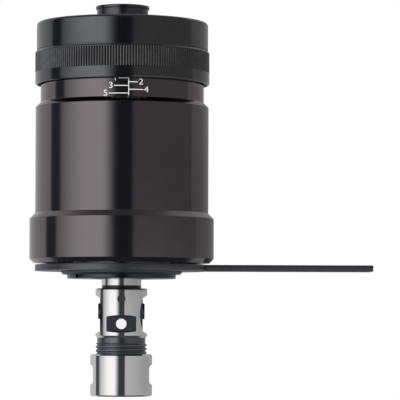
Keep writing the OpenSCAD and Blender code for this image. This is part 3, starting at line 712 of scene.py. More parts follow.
def along_x(side: Side) -> Matrix:
    """Turns the Z axis to the side that is named."""
    return Matrix.Rotation(math.radians(90.0 * side.value), 4, "Y")


def flat_turn(side: Side) -> Matrix:
    """Turns a flat's cutter, drawn across X and Y, upright and to the side that is named."""
    return Matrix.Rotation(math.radians(90.0 - 90.0 * side.value), 4, "Z") @ FRONT


def raised(z: float, turn: Matrix) -> Matrix:
    """Turns a piece and lifts it to a level in millimetres."""
    return Matrix.Translation((0.0, 0.0, z * MM)) @ turn


# Sub-assemblies: sizes are in millimetres, and _r is a radius, _h a height or depth and _w a width

@dataclass
class DriveHub:
    """Hub with the tapered socket, seen above the cap."""

    mouth_r: float = 7.925  # radius of the taper at its mouth
    end_r: float = 7.12  # radius of the taper at its small end
    taper: float = 25.4
    well_in: float = 0.6  # how much smaller the well behind the taper is in radius
    well_h: float = 1.6
    neck_r: float = 10.4
    flange_r: float = 10.9
    flange_h: float = 1.26
    plate_top: float = -35.95  # level of the top of the clutch plate
    plate_h: float = 4.0
    journal_r: float = 10.0  # journal under the clutch plate

    def build(self) -> None:
        """Builds the hub's turned outside and socket, down to its clutch plate."""
        foot, top = level("drive_hub")
        plate_r, plate_foot = radius("drive_hub"), self.plate_top - self.plate_h
        well_r, well_foot = self.end_r - self.well_in, -self.taper - self.well_h
        corners: list[Corner] = [
            (0.0, well_foot, 0.0), (well_r, well_foot, 0.0), (well_r, -self.taper, 0.0),
            (self.end_r, -self.taper, 0.0), (self.mouth_r, top, 0.35), (self.flange_r, top, 0.3),
            (self.flange_r, -self.flange_h, 0.25), (self.neck_r, -self.flange_h, 0.15),
            (self.neck_r, self.plate_top, 0.5), (plate_r, self.plate_top, 0.4), (plate_r, plate_foot, 0.4),
            (self.journal_r, plate_foot, 0.3), (self.journal_r, foot, 0.4), (0.0, foot, 0.0),
        ]
        hub = to_object("hub_turned", lathe(rounded(corners)), HUB_OXIDE)
        dress(hub, "hub", "black_oxide", "drive_hub")


@dataclass
class TorqueCap:
    """Knurled cap that sets the slip torque."""

    band_r: float = 34.9  # radius of the smooth upper band
    crown_edge: float = 1.5
    knurl_h: float = 8.45
    knurl_lines: int = 198
    ridge_sides: int = 16
    knurl_depth: float = 0.5  # depth of the band under the ridges
    rim_in: float = 0.03  # how far the land above the knurl lies below its ridges
    rim_drop: float = 0.05  # how far the chamfer above the knurl reaches past its top
    groove_depth: float = 0.5  # depth of the groove above the knurl
    groove_foot: float = 0.5  # distance from the knurl to the groove
    groove_top: float = 0.95  # distance from the knurl to the groove's top
    foot_h: float = 4.55  # height of the plain band at the foot
    foot_r: float = 35.42  # radius of that band
    foot_in: float = 0.5  # reach of the foot's rounding towards the axis
    foot_up: float = 0.8  # height of that rounding
    foot_steps: int = 10
    end_gap: float = 0.3  # plain land at both ends of the knurl
    recess_in: float = 0.35  # distance from the rounding to the recess under the foot
    recess_h: float = 1.5
    bore_r: float = 33.25  # radius of the bore that runs on the neck
    hole_r: float = 10.7  # radius of the hole for the hub
    crown: float = 5.0

    def knurl_tree(self) -> Tree:
        """Builds the tree that sets one ridge at each line of the knurl.

        Returns:
            The node tree.
        """
        tree, source = new_geometry("straight_knurl", {
            "Lines": "NodeSocketInt", "Radius": "NodeSocketFloat", "Ridge": "NodeSocketFloat",
            "Height": "NodeSocketFloat"})
        sizes = source.outputs
        ring = add(tree, "GeometryNodeMeshCircle", {"Vertices": sizes["Lines"], "Radius": sizes["Radius"]})
        ridge = add(tree, "GeometryNodeMeshCylinder", {
            "Vertices": self.ridge_sides, "Radius": sizes["Ridge"], "Depth": sizes["Height"]})
        place = add(tree, "GeometryNodeInstanceOnPoints", {
            "Points": ring.outputs["Mesh"], "Instance": ridge.outputs["Mesh"]})
        return end_geometry(tree, source, place.outputs[0])

    def build_knurl(self, knurl_r: float, knurl_top: float) -> None:
        """Builds the ridges of the knurl.

        Args:
            knurl_r: Radius over the ridges.
            knurl_top: Upper level of the band.
        """
        ridge_r = math.pi * knurl_r / self.knurl_lines
        values = {
            "Lines": self.knurl_lines, "Radius": (knurl_r - ridge_r) * MM, "Ridge": ridge_r * MM,
            "Height": (self.knurl_h - 2 * self.end_gap) * MM, "Level": (knurl_top - self.knurl_h / 2) * MM,
            "Finish": PAINTS.of(CAP_ANODISE),
        }
        dress(grow("cap_knurl", self.knurl_tree(), values, Shading.MILLED), "cap", "black_anodised")

    def build(self) -> None:
        """Builds the turned cap and its knurl."""
        foot, top = level("torque_cap")
        knurl_r = radius("torque_cap")
        knurl_foot = foot + self.foot_h
        knurl_top = knurl_foot + self.knurl_h
        land_foot, land_top = knurl_foot + self.end_gap, knurl_top - self.end_gap
        valley_r, rim_r, groove_r = knurl_r - self.knurl_depth, knurl_r - self.rim_in, self.band_r - self.groove_depth
        groove_top, groove_foot = knurl_top + self.groove_top, knurl_top + self.groove_foot
        recess_r, recess_top = self.foot_r - self.foot_in - self.recess_in, foot + self.recess_h
        inner_top = top - self.crown
        corners: list[Corner] = [
            (self.hole_r, top, 0.4), (self.band_r, top, self.crown_edge), (self.band_r, groove_top, 0.12),
            (groove_r, groove_top, 0.03), (groove_r, groove_foot, 0.03), (self.band_r, groove_foot, 0.05),
            (rim_r, knurl_top - self.rim_drop, 0.1), (rim_r, land_top, 0.03), (valley_r, land_top, 0.03),
            (valley_r, land_foot, 0.03), (self.foot_r, land_foot, 0.12),
            *((self.foot_r - self.foot_in * (1 - c), foot + self.foot_up * (1 - s), 0.0)
              for c, s in quarter(self.foot_steps)),
            (recess_r, foot, 0.1), (recess_r, recess_top, 0.05), (self.bore_r, recess_top, 0.2),
            (self.bore_r, inner_top, 0.2), (self.hole_r, inner_top, 0.2),
        ]
        cap = to_object("cap_turned", lathe(rounded(corners), FINE_TURN), CAP_ANODISE)
        dress(cap, "cap", "black_anodised", "torque_cap")
        self.build_knurl(knurl_r, knurl_top)


@dataclass
class DialMark:
    """One mark of the torque scale."""

    number: int
    side: Side  # the side of the line that it stands on
    length: float


@dataclass
class Housing:
    """Neck with the torque scale, body and flared skirt."""

    neck_r: float = 33.2
    neck_bore: float = 30.0
    shoulder: float = -39.4  # level of the top of the shoulder
    body_r: float = 35.17
    flare: float = -84.37  # level of the top of the flare
    foot_chamfer: float = 1.7
    edge: float = 0.12  # rounding of the outer edges
    inner_r: float = 32.0  # radius of the gear bore
    web_top: float = -42.0  # level of the top of the web inside
    web_foot: float = -57.0
    web_r: float = 18.0
    marks: list[DialMark] = field(default_factory=lambda: [  # marks of the torque scale, lowest torque first
        DialMark(1, Side.LEFT, 4.0), DialMark(2, Side.RIGHT, 3.7), DialMark(3, Side.LEFT, 5.8),
        DialMark(4, Side.RIGHT, 5.9), DialMark(5, Side.LEFT, 7.9)])
    scale_offset: float = 2.5  # distance across from the middle to the scale's line
    scale_top: float = -31.0  # level of the line's top
    scale_foot: float = -39.05
    first_mark: float = -32.15
    mark_pitch: float = 1.5  # distance between marks
    line_w: float = 0.34
    bar_step: float = 0.5  # longest straight step of a line round the neck
    figure_h: float = 2.4
    figure_share: float = 0.7  # height of a figure as a share of its font size
    figure_weight: float = 0.004  # how much bolder the figures are
    figure_wide: float = 1.12  # how much wider the figures are
    figure_gap: float = 1.25  # distance from a mark's end to the middle of its figure
    ink: float = 0.03  # thickness of the lines and figures
    proud: float = 0.012  # how far the lines and figures stand out of the neck

    def onto_neck(self, mesh: Mesh) -> None:
        """Wraps a flat mesh, drawn across X and Z, round the front of the neck.

        Args:
            mesh: The mesh, in millimetres; it ends in metres.
        """
        r = self.neck_r + (self.proud - self.ink)
        for vert in mesh.verts:
            angle, out = vert.co.x / self.neck_r, r + vert.co.y
            vert.co = Vector((out * math.sin(angle), -out * math.cos(angle), vert.co.z)) * MM

    def bar_mesh(self, x0: float, x1: float, z0: float, z1: float) -> bpy.types.Mesh:
        """Builds a flat bar of the scale, divided so that it follows the neck.

        Args:
            x0: First end across.
            x1: Second end across.
            z0: Lower edge.
            z1: Upper edge.

        Returns:
            The flat mesh, in millimetres.
        """
        mesh = bmesh.new()
        steps = max(2, math.ceil(abs(x1 - x0) / self.bar_step))
        columns = [x0 + (x1 - x0) * k / steps for k in range(steps + 1)]
        rows = [(mesh.verts.new((x, 0.0, z0)), mesh.verts.new((x, 0.0, z1))) for x in columns]
        for first, second in zip(rows, rows[1:]):
            mesh.faces.new((first[0], second[0], second[1], first[1]))
        flat = bpy.data.meshes.new("bar")
        mesh.to_mesh(flat)
        mesh.free()
        return flat

    def figure_mesh(self, number: int, x: float, z: float) -> bpy.types.Mesh:
        """Builds a figure of the scale as a flat mesh.

        Args:
            number: The figure.
            x: Its middle across.
            z: Its middle level.

        Returns:
            The flat mesh, in millimetres.
        """
        curve = bpy.data.curves.new("figure", "FONT")
        curve.body, curve.align_x, curve.align_y = str(number), "CENTER", "CENTER"
        curve.size, curve.offset = self.figure_h / self.figure_share, self.figure_weight
        holder = bpy.data.objects.new("figure", curve)
        bpy.context.scene.collection.objects.link(holder)
        graph = bpy.context.evaluated_depsgraph_get()
        flat = bpy.data.meshes.new_from_object(holder.evaluated_get(graph))
        for vert in flat.vertices:
            vert.co = Vector((x + vert.co.x * self.figure_wide, 0.0, z + vert.co.y))
        bpy.data.objects.remove(holder)
        bpy.data.curves.remove(curve)
        return flat

    def build_scale(self) -> None:
        """Builds the line, marks and figures of the torque scale on the neck."""
        half, x = self.line_w / 2, self.scale_offset
        parts = [self.bar_mesh(x - half, x + half, self.scale_foot, self.scale_top)]
        for index, mark in enumerate(self.marks):
            z = self.first_mark - index * self.mark_pitch
            end = x + mark.side.value * mark.length
            parts.append(self.bar_mesh(x, end, z - half, z + half))
            parts.append(self.figure_mesh(mark.number, end + mark.side.value * self.figure_gap, z))
        scale = bmesh.new()
        for part in parts:
            scale.from_mesh(part)
            bpy.data.meshes.remove(part)
        faces = bmesh.ops.extrude_face_region(scale, geom=scale.faces[:])
        outer = [item for item in faces["geom"] if isinstance(item, bmesh.types.BMVert)]
        bmesh.ops.translate(scale, verts=outer, vec=(0.0, self.ink, 0.0))
        self.onto_neck(scale)
        bmesh.ops.recalc_face_normals(scale, faces=scale.faces)
        dress(to_object("torque_scale", scale, DIAL_WHITE, Shading.MILLED), "housing", "ground_steel")

    def build(self) -> None:
        """Builds the turned housing and its scale."""
        foot, top = level("housing")
        skirt_r, edge = radius("housing"), self.edge
        body_top = self.shoulder - (self.body_r - self.neck_r)
        skirt_top = self.flare - (skirt_r - self.body_r)
        corners: list[Corner] = [
            (self.neck_bore, top, 0.2), (self.neck_r, top, 0.5), (self.neck_r, self.shoulder, edge),
            (self.body_r, body_top, edge), (self.body_r, self.flare, edge), (skirt_r, skirt_top, edge),
            (skirt_r, foot + self.foot_chamfer, edge), (skirt_r - self.foot_chamfer, foot, edge),
            (self.inner_r, foot, 0.1), (self.inner_r, self.web_foot, 0.3), (self.web_r, self.web_foot, 0.2),
            (self.web_r, self.web_top, 0.2), (self.neck_bore, self.web_top, 0.3),
        ]
        shell = to_object("housing_turned", lathe(rounded(corners), FINE_TURN), BODY_ANODISE)
        dress(shell, "housing", "brown_anodised", "housing")
        self.build_scale()


@dataclass
class StopPlate:
    """Stop plate with its arm, and the two discs clamped under it."""

    disc_r: float = 35.1  # radius of the plate
    rim_steps: int = 192
    arm_w: float = 16.0
    hole_r: float = 16.02
    hole_steps: int = 96
    edge: float = 0.18  # broken edge all round
    clamp_bore: float = 12.0
    retainer_bore: float = 12.97
    retainer_edge: float = 0.3
    notch_w: float = 3.0  # width of the notch in the seal retainer
    notch_depth: float = 0.6
    notch_angle: float = 217.5  # where the notch is, in degrees from the arm
    seat_r: float = 2.52  # radius of the seats for the cover screws
    seat_h: float = 1.2
    seat_ring: float = 18.0  # distance of the seats from the axis
    seat_angles: tuple[float, ...] = (0.0, 120.0, 240.0)  # where the seats are, in degrees from the arm
    seat_steps: int = 48

    def outline(self, reach: float) -> list[Point]:
        """Gives the outline of the plate and arm, anticlockwise from the arm's front corner.

        Args:
            reach: Reach of the arm from the axis.

        Returns:
            The points of the outline.
        """
        half = self.arm_w / 2
        root = math.asin(half / self.disc_r)
        sweep = 2 * (math.pi - root)
        turns = [root + sweep * k / self.rim_steps for k in range(self.rim_steps + 1)]
        rim = [(self.disc_r * math.cos(turn), self.disc_r * math.sin(turn)) for turn in turns]
        return [(reach, -half), (reach, half), *rim]

    def build_plate(self) -> None:
        """Builds the plate with its arm and hole."""
        low, high = level("stop_plate")
        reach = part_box("stop_plate")[1].x / MM
        plate = to_object("stop_plate_milled", prism(self.outline(reach), low, high), PLATE_OXIDE)
        hole = prism(circle(self.hole_r, self.hole_steps), low - CUT_PAST, high + CUT_PAST)
        carve(plate, [to_object("hole", hole, PLATE_OXIDE)], Shading.TURNED)
        broken = plate.modifiers.new("edge", "BEVEL")
        broken.width, broken.segments, broken.limit_method = self.edge * MM, 2, "ANGLE"
        settle(plate, Shading.TURNED)
        dress(plate, "carrier", "black_oxide", "stop_plate")

    def build_clamp(self) -> None:
        """Builds the clamp disc."""
        low, high = level("clamp_disc")
        r, chamfer = radius("clamp_disc"), (high - low) / 2
        clamp = to_object("clamp_disc_turned", lathe(rounded([
            (self.clamp_bore, high, 0.0), (r, high, 0.12), (r, low + chamfer, 0.1), (r - chamfer, low, 0.1),
            (self.clamp_bore, low, 0.0)])), DISC_OXIDE)
        dress(clamp, "carrier", "black_oxide", "clamp_disc")

    def build_retainer(self) -> None:
        """Builds the seal retainer with its notch and screw seats."""
        low, high = level("seal_retainer")
        r, bore, edge = radius("seal_retainer"), self.retainer_bore, self.retainer_edge
        retainer = to_object("seal_retainer_turned", lathe(rounded([
            (bore, high, 0.0), (r, high, 0.12), (r, low + edge, 0.1), (r - edge, low, 0.1), (bore, low, 0.2)])),
            BLACK_OXIDE)
        near, far, half = r - self.notch_depth, r + CUT_PAST, self.notch_w / 2
        notch = prism([(near, -half), (far, -half), (far, half), (near, half)], low - CUT_PAST, high + CUT_PAST)
        turn = Matrix.Rotation(math.radians(self.notch_angle), 4, "Z")
        cutters = [to_object("notch", notch, BLACK_OXIDE, place=turn)]
        under, top = low - CUT_PAST, low + self.seat_h
        for angle in self.seat_angles:
            seat = lathe([(0.0, under), (self.seat_r, under), (self.seat_r, top), (0.0, top)], self.seat_steps)
            turn = Matrix.Rotation(math.radians(angle), 4, "Z")
            place = turn @ Matrix.Translation((self.seat_ring * MM, 0.0, 0.0))
            cutters.append(to_object("seat", seat, BLACK_OXIDE, place=place))
        carve(retainer, cutters, Shading.TURNED)
        dress(retainer, "carrier", "black_oxide", "seal_retainer")

    def build(self) -> None:
        """Builds the plate, the clamp disc and the seal retainer."""
        self.build_plate()
        self.build_clamp()
        self.build_retainer()


@dataclass
class SocketScrew:
    """A screw with a chamfered end and a hexagon socket."""

    name: str
    r: float
    socket_r: float  # radius over the socket's corners
    socket_depth: float
    finish: Finish
    steps: int = 64
    edge_share: float = 0.14  # rounding of its end as a share of its radius

    def build(self, start: float, end: float, place: Matrix) -> Piece:
        """Builds the screw.

        Args:
            start: Where it starts from the axis.
            end: Where its socket end is.
            place: Its direction and level.

        Returns:
            The screw.
        """
        mesh = lathe(rounded([(0.0, start, 0.0), (self.r, start, 0.1), (self.r, end, self.r * self.edge_share),
                              (0.0, end, 0.0)]), self.steps)
        screw = to_object(self.name, mesh, self.finish)
        hexagon = prism(circle(self.socket_r, 6), end - self.socket_depth, end + CUT_PAST)
        carve(screw, [to_object("socket", hexagon, self.finish)], Shading.MILLED)
        screw.data.transform(place)
        return screw


@dataclass
class ChuckNose:
    """Spindle shank, ground nose with its jaw screws and pocket, and the collet thread."""

    pilot_r: float = 6.0  # radius of the spindle's pilot and stub
    shank_top: float = -60.6
    undercut_r: float = 8.0  # radius of the undercut above the nose
    undercut_h: float = 1.2
    nose_r: float = 10.5
    nose_h: float = 19.9
    nose_edge: float = 0.75
    stub_r: float = 6.02  # radius of the nose's bore for the stub
    stub_h: float = 5.65  # depth of that bore
    flats: float = 17.2  # distance between the side flats
    flats_drop: float = 3.85  # distance from the nose's top to the flats
    flats_h: float = 13.4
    flats_slope: float = 30.0  # slope of the flats' run-outs, in degrees
    border_w: float = 1.7  # greatest width of the dark borders beside the flats
    border_tip: float = 0.02  # least width of the borders
    border_proud: float = 0.012  # how far the borders stand out of the barrel
    border_sunk: float = 0.05  # how far the borders reach into the barrel
    border_rows: int = 24
    pocket_drop: float = 14.35  # depth of the pocket's centre
    pocket_h: float = 7.1  # height of the pocket on the barrel
    pocket_flare: float = 0.28  # how much the pocket's mouth is wider on each side
    pocket_taper: float = 0.55  # how much its floor is narrower on each side
    pin_bore_r: float = 2.16
    jaw_drop: float = 9.2  # depth of the jaw bore's axis
    jaw_bore_r: float = 3.25
    set_drop: float = 4.3  # depth of the set screw's axis
    set_bore_r: float = 1.66
    set_bore_start: float = 5.0  # where that bore starts from the axis
    bore_steps: int = 64  # steps round these bores and the front pin
    relief_r: float = 9.76  # radius of the relief above the thread
    relief_h: float = 2.1
    foot_edge: float = 0.85  # height of the chamfer at the nose's foot
    foot_in: float = 0.6  # reach of that chamfer towards the axis
    thread_r: float = 10.3  # radius over the thread
    thread_len: float = 13.2
    thread_depth: float = 0.6
    thread_start: float = 0.33  # shift of the thread along the axis
    pitch: float = 1.5875
    crest: Point = (0.2, 0.4)  # where the flank starts and how long it is, as shares of the rise
    run_in: float = 0.25  # length of the thread's ends as a share of the pitch
    run_in_slope: float = 0.8
    thread_rows: int = 16
    thread_steps: int = 144
    bore_r: float = 5.2  # radius of the bore for the tap
    collet_r: float = 8.4  # radius of the bore for the collet

    def flat_cutters(self, top: float) -> list[Piece]:
        """Builds the two shapes that mill the side flats.

        Args:
            top: Level of the nose's top.

        Returns:
            The two cutters.
        """
        half, reach = self.flats / 2, self.nose_r + CUT_PAST
        high, low = top - self.flats_drop, top - self.flats_drop - self.flats_h
        rise = (reach - half) * math.tan(math.radians(self.flats_slope))
        outline = [(half, high), (half, low), (reach, low - rise), (reach, high + rise)]
        return [to_object(f"flat_{side.name.lower()}", prism(outline, -reach, reach), BLACK_OXIDE,
                          place=flat_turn(side)) for side in Side]

    def bore_cutter(self, name: str, r: float, start: float, place: Matrix) -> Piece:
        """Builds a round cutter across the axis that ends outside the nose.

        Args:
            name: Name of the cutter.
            r: Its radius.
            start: Where it starts from the axis.
            place: Its direction and level.

        Returns:
            The cutter.
        """
        end = self.nose_r + CUT_PAST
        mesh = lathe([(0.0, start), (r, start), (r, end), (0.0, end)], self.bore_steps)
        return to_object(name, mesh, BLACK_OXIDE, place=place)

    def pocket_cutter(self, z: float) -> Piece:
        """Builds the shape that mills the front pocket, with walls that slope a little.

        Args:
            z: Level of the pocket's centre.

        Returns:
            The cutter.
        """
        floor, mouth, half = self.flats / 2, self.nose_r + CUT_PAST, self.pocket_h / 2
        wide, narrow = half + self.pocket_flare, half - self.pocket_taper
        corners = [(-floor, -narrow), (-mouth, -wide), (-mouth, wide), (-floor, narrow)]
        turn = Matrix.Rotation(math.radians(90.0), 4, "Z") @ FRONT
        return to_object("pocket", prism(corners, -self.nose_r, self.nose_r), POCKET_OXIDE, place=raised(z, turn))

    def oxide_and_shade_border_mesh(self, top: float) -> Mesh:
        """Builds the thin dark borders on the barrel beside the flats: partly the oxide left where the barrel isn't
        ground clean, partly painted shade along the flats' edges.

        Args:
            top: Level of the nose's top.

        Returns:
            The mesh, in metres.
        """
        half = self.flats_h / 2
        middle = top - self.flats_drop - half
        start = math.acos(self.flats / 2 / self.nose_r)
        outer, inner = (self.nose_r + self.border_proud) * MM, (self.nose_r - self.border_sunk) * MM
        mesh = bmesh.new()
        for side, toward in ((side.value, toward) for side in Side for toward in (-1, 1)):
            loops = []
            for row in range(self.border_rows + 1):
                share = 2 * row / self.border_rows - 1
                end = start + max(self.border_tip, self.border_w * (1 - share ** 2)) / self.nose_r
                spots = ((outer, start), (outer, (start + end) / 2), (outer, end), (inner, end), (inner, start))
                z = (middle + share * half) * MM
                loops.append([mesh.verts.new((side * r * math.cos(a), toward * r * math.sin(a), z)) for r, a in spots])
            mesh.faces.new(loops[0])
            mesh.faces.new(loops[-1])
            bridge(mesh, loops)
        return mesh

    def thread_radius(self, z: float, turn: float, top: float) -> float:
        """Gives the radius of the thread's skin at a point.

        Args:
            z: Level of the point.
            turn: Its angle, in turns.
            top: Upper level of the thread.

        Returns:
            The radius.
        """
        from_end = min(top - z, z - (top - self.thread_len))
        fade = max(0.0, self.pitch * self.run_in - from_end) * self.run_in_slope
        phase = ((z + self.thread_start) / self.pitch - turn) % 1.0
        rise = 1.0 - abs(2.0 * phase - 1.0)
        crest = min(1.0, max(0.0, (rise - self.crest[0]) / self.crest[1]))
        return self.thread_r - max(self.thread_depth * (1.0 - crest), min(self.thread_depth, fade))

    def thread_mesh(self, top: float) -> Mesh:
        """Builds the thread as one turned skin whose radius follows the helix.

        Args:
            top: Upper level of the thread.

        Returns:
            The mesh, in metres.
        """
        rows = round(self.thread_len / self.pitch * self.thread_rows)
        levels = [top - self.thread_len * row / rows for row in range(rows + 1)]
        spots = list(enumerate(circle(MM, self.thread_steps)))
        mesh = bmesh.new()
        rings = []
        for z in levels:
            radii = [self.thread_radius(z, k / self.thread_steps, top) for k, _ in spots]
            rings.append([mesh.verts.new((radii[k] * x, radii[k] * y, z * MM)) for k, (x, y) in spots])
        ends = [[mesh.verts.new((self.collet_r * x, self.collet_r * y, z * MM)) for _, (x, y) in spots]
                for z in (levels[0], levels[-1])]
        bridge(mesh, [ends[0], *rings, ends[1], ends[0]])
        return mesh

    def build_spindle(self) -> None:
        """Builds the spindle's pilot, shank, undercut and stub."""
        foot, top = level("tap_spindle")
        shank_r, nose_top = radius("tap_spindle"), level("chuck_nose")[1]
        undercut_top = nose_top + self.undercut_h
        spindle = to_object("spindle_shank", lathe(rounded([
            (0.0, top, 0.0), (self.pilot_r, top, 0.5), (self.pilot_r, self.shank_top, 0.2),
            (shank_r, self.shank_top, 0.4), (shank_r, undercut_top, 0.15), (self.undercut_r, undercut_top, 0.05),
            (self.undercut_r, nose_top, 0.05), (self.pilot_r, nose_top, 0.1), (self.pilot_r, foot, 0.3),
            (0.0, foot, 0.0)])), GROUND_STEEL)
        # the undercut above the nose is coloured dark as painted shade in the groove
        repaint(spindle, GROOVE_SHADE, lambda r, z: nose_top - PAINT_SLACK < z < undercut_top)
        dress(spindle, "spindle", "ground_steel", "tap_spindle")

    def build_nose(self, top: float) -> None:
        """Builds the nose with its flats, pocket and bores, and the thread below it.

        Args:
            top: Level of the nose's top.
        """
        foot, stub_foot = top - self.nose_h, top - self.stub_h
        thread_top = foot - self.relief_h
        nose = to_object("nose_ground", lathe(rounded([
            (self.stub_r, top, 0.0), (self.nose_r, top, self.nose_edge), (self.nose_r, foot + self.foot_edge, 0.35),
            (self.nose_r - self.foot_in, foot, 0.15), (self.relief_r, foot, 0.05), (self.relief_r, thread_top, 0.0),
            (self.bore_r, thread_top, 0.0), (self.bore_r, stub_foot, 0.0), (self.stub_r, stub_foot, 0.0)]), FINE_TURN),
            GROUND_STEEL)
        repaint(nose, RELIEF_OXIDE, lambda r, z: z < foot - HOLD or r < self.relief_r - PAINT_SLACK)
        pocket_z = top - self.pocket_drop
        carve(nose, [
            *self.flat_cutters(top),
            self.bore_cutter("jaw_bore", self.jaw_bore_r, -self.nose_r - CUT_PAST,
                             raised(top - self.jaw_drop, along_x(Side.RIGHT))),
            self.bore_cutter("set_bore", self.set_bore_r, self.set_bore_start, raised(top - self.set_drop, FRONT)),
            self.pocket_cutter(pocket_z),
            self.bore_cutter("pin_bore", self.pin_bore_r, 0.0, raised(pocket_z, FRONT)),
        ], Shading.MILLED)
        dress(nose, "spindle", "ground_steel", "chuck_nose")
        # thin dark skins beside the flats: partly oxide that the grinding leaves, partly painted shade along the
        # flats' edges
        dress(to_object("flat_oxide_and_shade_borders", self.oxide_and_shade_border_mesh(top), BLACK_OXIDE), "spindle", "black_oxide")
        thread = to_object("nose_thread", self.thread_mesh(thread_top), THREAD_OXIDE, Shading.SOFT)
        dress(thread, "spindle", "black_oxide")

    def build_screws(self, top: float) -> None:
        """Builds the jaw screws, the set screw and the pin in the pocket.

        Args:
            top: Level of the nose's top.
        """
        for side in Side:
            node = f"jaw_screw_{side.name.lower()}"
            near, far = sorted(abs(corner.x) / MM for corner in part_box(node))
            screw = SocketScrew(f"{node}_turned", radius(node), socket_r=1.73, socket_depth=1.8, finish=SCREW_OXIDE)
            dress(screw.build(near, far, raised(top - self.jaw_drop, along_x(side))), node, "black_oxide", node)
        node = "nose_set_screw"
        grub = SocketScrew("set_screw_turned", radius_x(node), socket_r=0.95, socket_depth=1.4, finish=SPRING_STEEL)
        dress(grub.build(*depth(node), raised(top - self.set_drop, FRONT)), "spindle", "black_oxide", node)
        node = "front_pin"
        r, (near, far) = radius_x(node), depth(node)
        mesh = lathe(rounded([(0.0, near, 0.0), (r, near, 0.1), (r, far, 0.12), (0.0, far, 0.0)]), self.bore_steps)
        pin = to_object("front_pin_turned", mesh, PIN_STEEL, place=raised(top - self.pocket_drop, FRONT))
        dress(pin, "spindle", "ground_steel", node)

    def build(self) -> None:
        """Builds the spindle's visible pieces."""
        top = level("chuck_nose")[1]
        self.build_spindle()
        self.build_nose(top)
        self.build_screws(top)


@dataclass
class ColletChuck:
    """Collet nut with two wrench flats."""

    flats: float = 22.7  # distance between the wrench flats
    flat_h: float = 8.25
    flat_drop: float = 4.1  # distance from the nut's top to the flats
    run_out_r: float = 1.6
    run_out_steps: int = 8
    edge: float = 0.55  # chamfer of the outer edges
    thread_r: float = 10.35  # radius of the threaded bore
    thread_past: float = 1.0  # how far that bore reaches past the nose
    dark_in: float = 0.4  # width of the dark ring round the threaded bore
    collet_gap: float = 0.05
    hole_r: float = 6.5  # radius of the hole in the floor
    floor_h: float = 2.05

    def flat_cutter(self, top: float, nut_r: float, side: Side) -> Piece:
        """Builds the shape that mills one wrench flat, with round run-outs.

        Args:
            top: Level of the nut's top.
            nut_r: Radius of the nut.
            side: The side of the flat.

        Returns:
            The cutter.
        """
        half, past, r = self.flats / 2, nut_r + CUT_PAST, self.run_out_r
        high, low = top - self.flat_drop, top - self.flat_drop - self.flat_h
        upper = [(half + r - r * c, high - r + r * s) for c, s in quarter(self.run_out_steps)]
        lower = [(x, high + low - z) for x, z in reversed(upper)]
        outline = upper + [(past + CUT_PAST, high), (past + CUT_PAST, low)] + lower
        return to_object(f"wrench_flat_{side.name.lower()}", prism(outline, -past, past), GROUND_STEEL,
                         place=flat_turn(side))

    def build(self) -> None:
        """Builds the nut."""
        foot, top = level("collet_nut")
        r, edge, thread_r = radius("collet_nut"), self.edge, self.thread_r
        thread_foot = level("chuck_nose")[0] - self.thread_past
        pocket_r, floor = radius("tap_collet") + self.collet_gap, foot + self.floor_h
        nut = to_object("nut_turned", lathe(rounded([
            (thread_r, top, 0.5), (r - edge, top, 0.06), (r, top - edge, 0.06), (r, foot + edge, 0.06),
            (r - edge, foot, 0.06), (self.hole_r, foot, 0.5), (self.hole_r, floor, 0.1), (pocket_r, floor, 0.1),
            (pocket_r, thread_foot, 0.1), (thread_r, thread_foot, 0.1)]), FINE_TURN), GROUND_STEEL)
        repaint(nut, BLACK_OXIDE, lambda across, z: across < thread_r + self.dark_in)
        carve(nut, [self.flat_cutter(top, r, side) for side in Side], Shading.MILLED)
        dress(nut, "nut", "ground_steel", "collet_nut")


@dataclass(frozen=True)
class Spring:
    """One coil spring."""

    node: str
    body: str
    wire: float  # diameter of its wire
    turns: float
    joint: str  # the joint that shortens it
    travel: float  # how much it is shortened
    top_held: bool = False  # whether its top stays where it is, and not its foot


@dataclass
class CoilSprings:
    """The clutch spring and the two springs that float the spindle."""

    around: int = 32  # points along one turn of the wire
    section: int = 12  # points round the wire
    wire_reach: float = 0.433  # how far a node's wire reaches out of its coil, as a share of its diameter
    springs: tuple[Spring, ...] = (
        Spring("clutch_spring", "housing", 3.4, 2.75, "cap_travel", 6.0),
        Spring("upper_float_spring", "hub", 1.4, 7.0, "spindle_float", 4.0, top_held=True),
        Spring("lower_float_spring", "sun", 1.6, 3.5, "spindle_float", 4.0),
    )

    def coil_tree(self) -> Tree:
        """Builds the tree that sweeps a round wire along a coil.

        Returns:
            The node tree.
        """
        tree, source = new_geometry("coil", dict.fromkeys(("Turns", "Radius", "Wire", "Height"), "NodeSocketFloat"))
        sizes = source.outputs
        coil = add(tree, "GeometryNodeCurveSpiral", {
            "Resolution": self.around, "Rotations": sizes["Turns"], "Start Radius": sizes["Radius"],
            "End Radius": sizes["Radius"], "Height": sizes["Height"]})
        wire = add(tree, "GeometryNodeCurvePrimitiveCircle", {"Resolution": self.section, "Radius": sizes["Wire"]})
        sweep = add(tree, "GeometryNodeCurveToMesh", {
            "Curve": coil.outputs[0], "Profile Curve": wire.outputs[0], "Fill Caps": True})
        return end_geometry(tree, source, sweep.outputs[0])

    def build(self) -> None:
        """Builds the three springs."""
        tree = self.coil_tree()
        for spring in self.springs:
            foot, top = level(spring.node)
            values = {
                "Turns": spring.turns, "Radius": (radius(spring.node) - spring.wire * self.wire_reach) * MM,
                "Wire": spring.wire / 2 * MM, "Height": (top - foot - spring.wire) * MM,
                "Level": (foot + spring.wire / 2) * MM, "Finish": PAINTS.of(SPRING_STEEL),
            }
            piece = grow(f"{spring.node}_wound", tree, values, Shading.SOFT)
            dress(piece, spring.body, "spring_steel", spring.node)
            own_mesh(piece)


# Studio

WHITE: Colour = (1.0, 1.0, 1.0)


def elevation(degrees: float) -> float:
    """Gives the height of a direction at an angle above the ground."""
    return math.sin(math.radians(degrees))


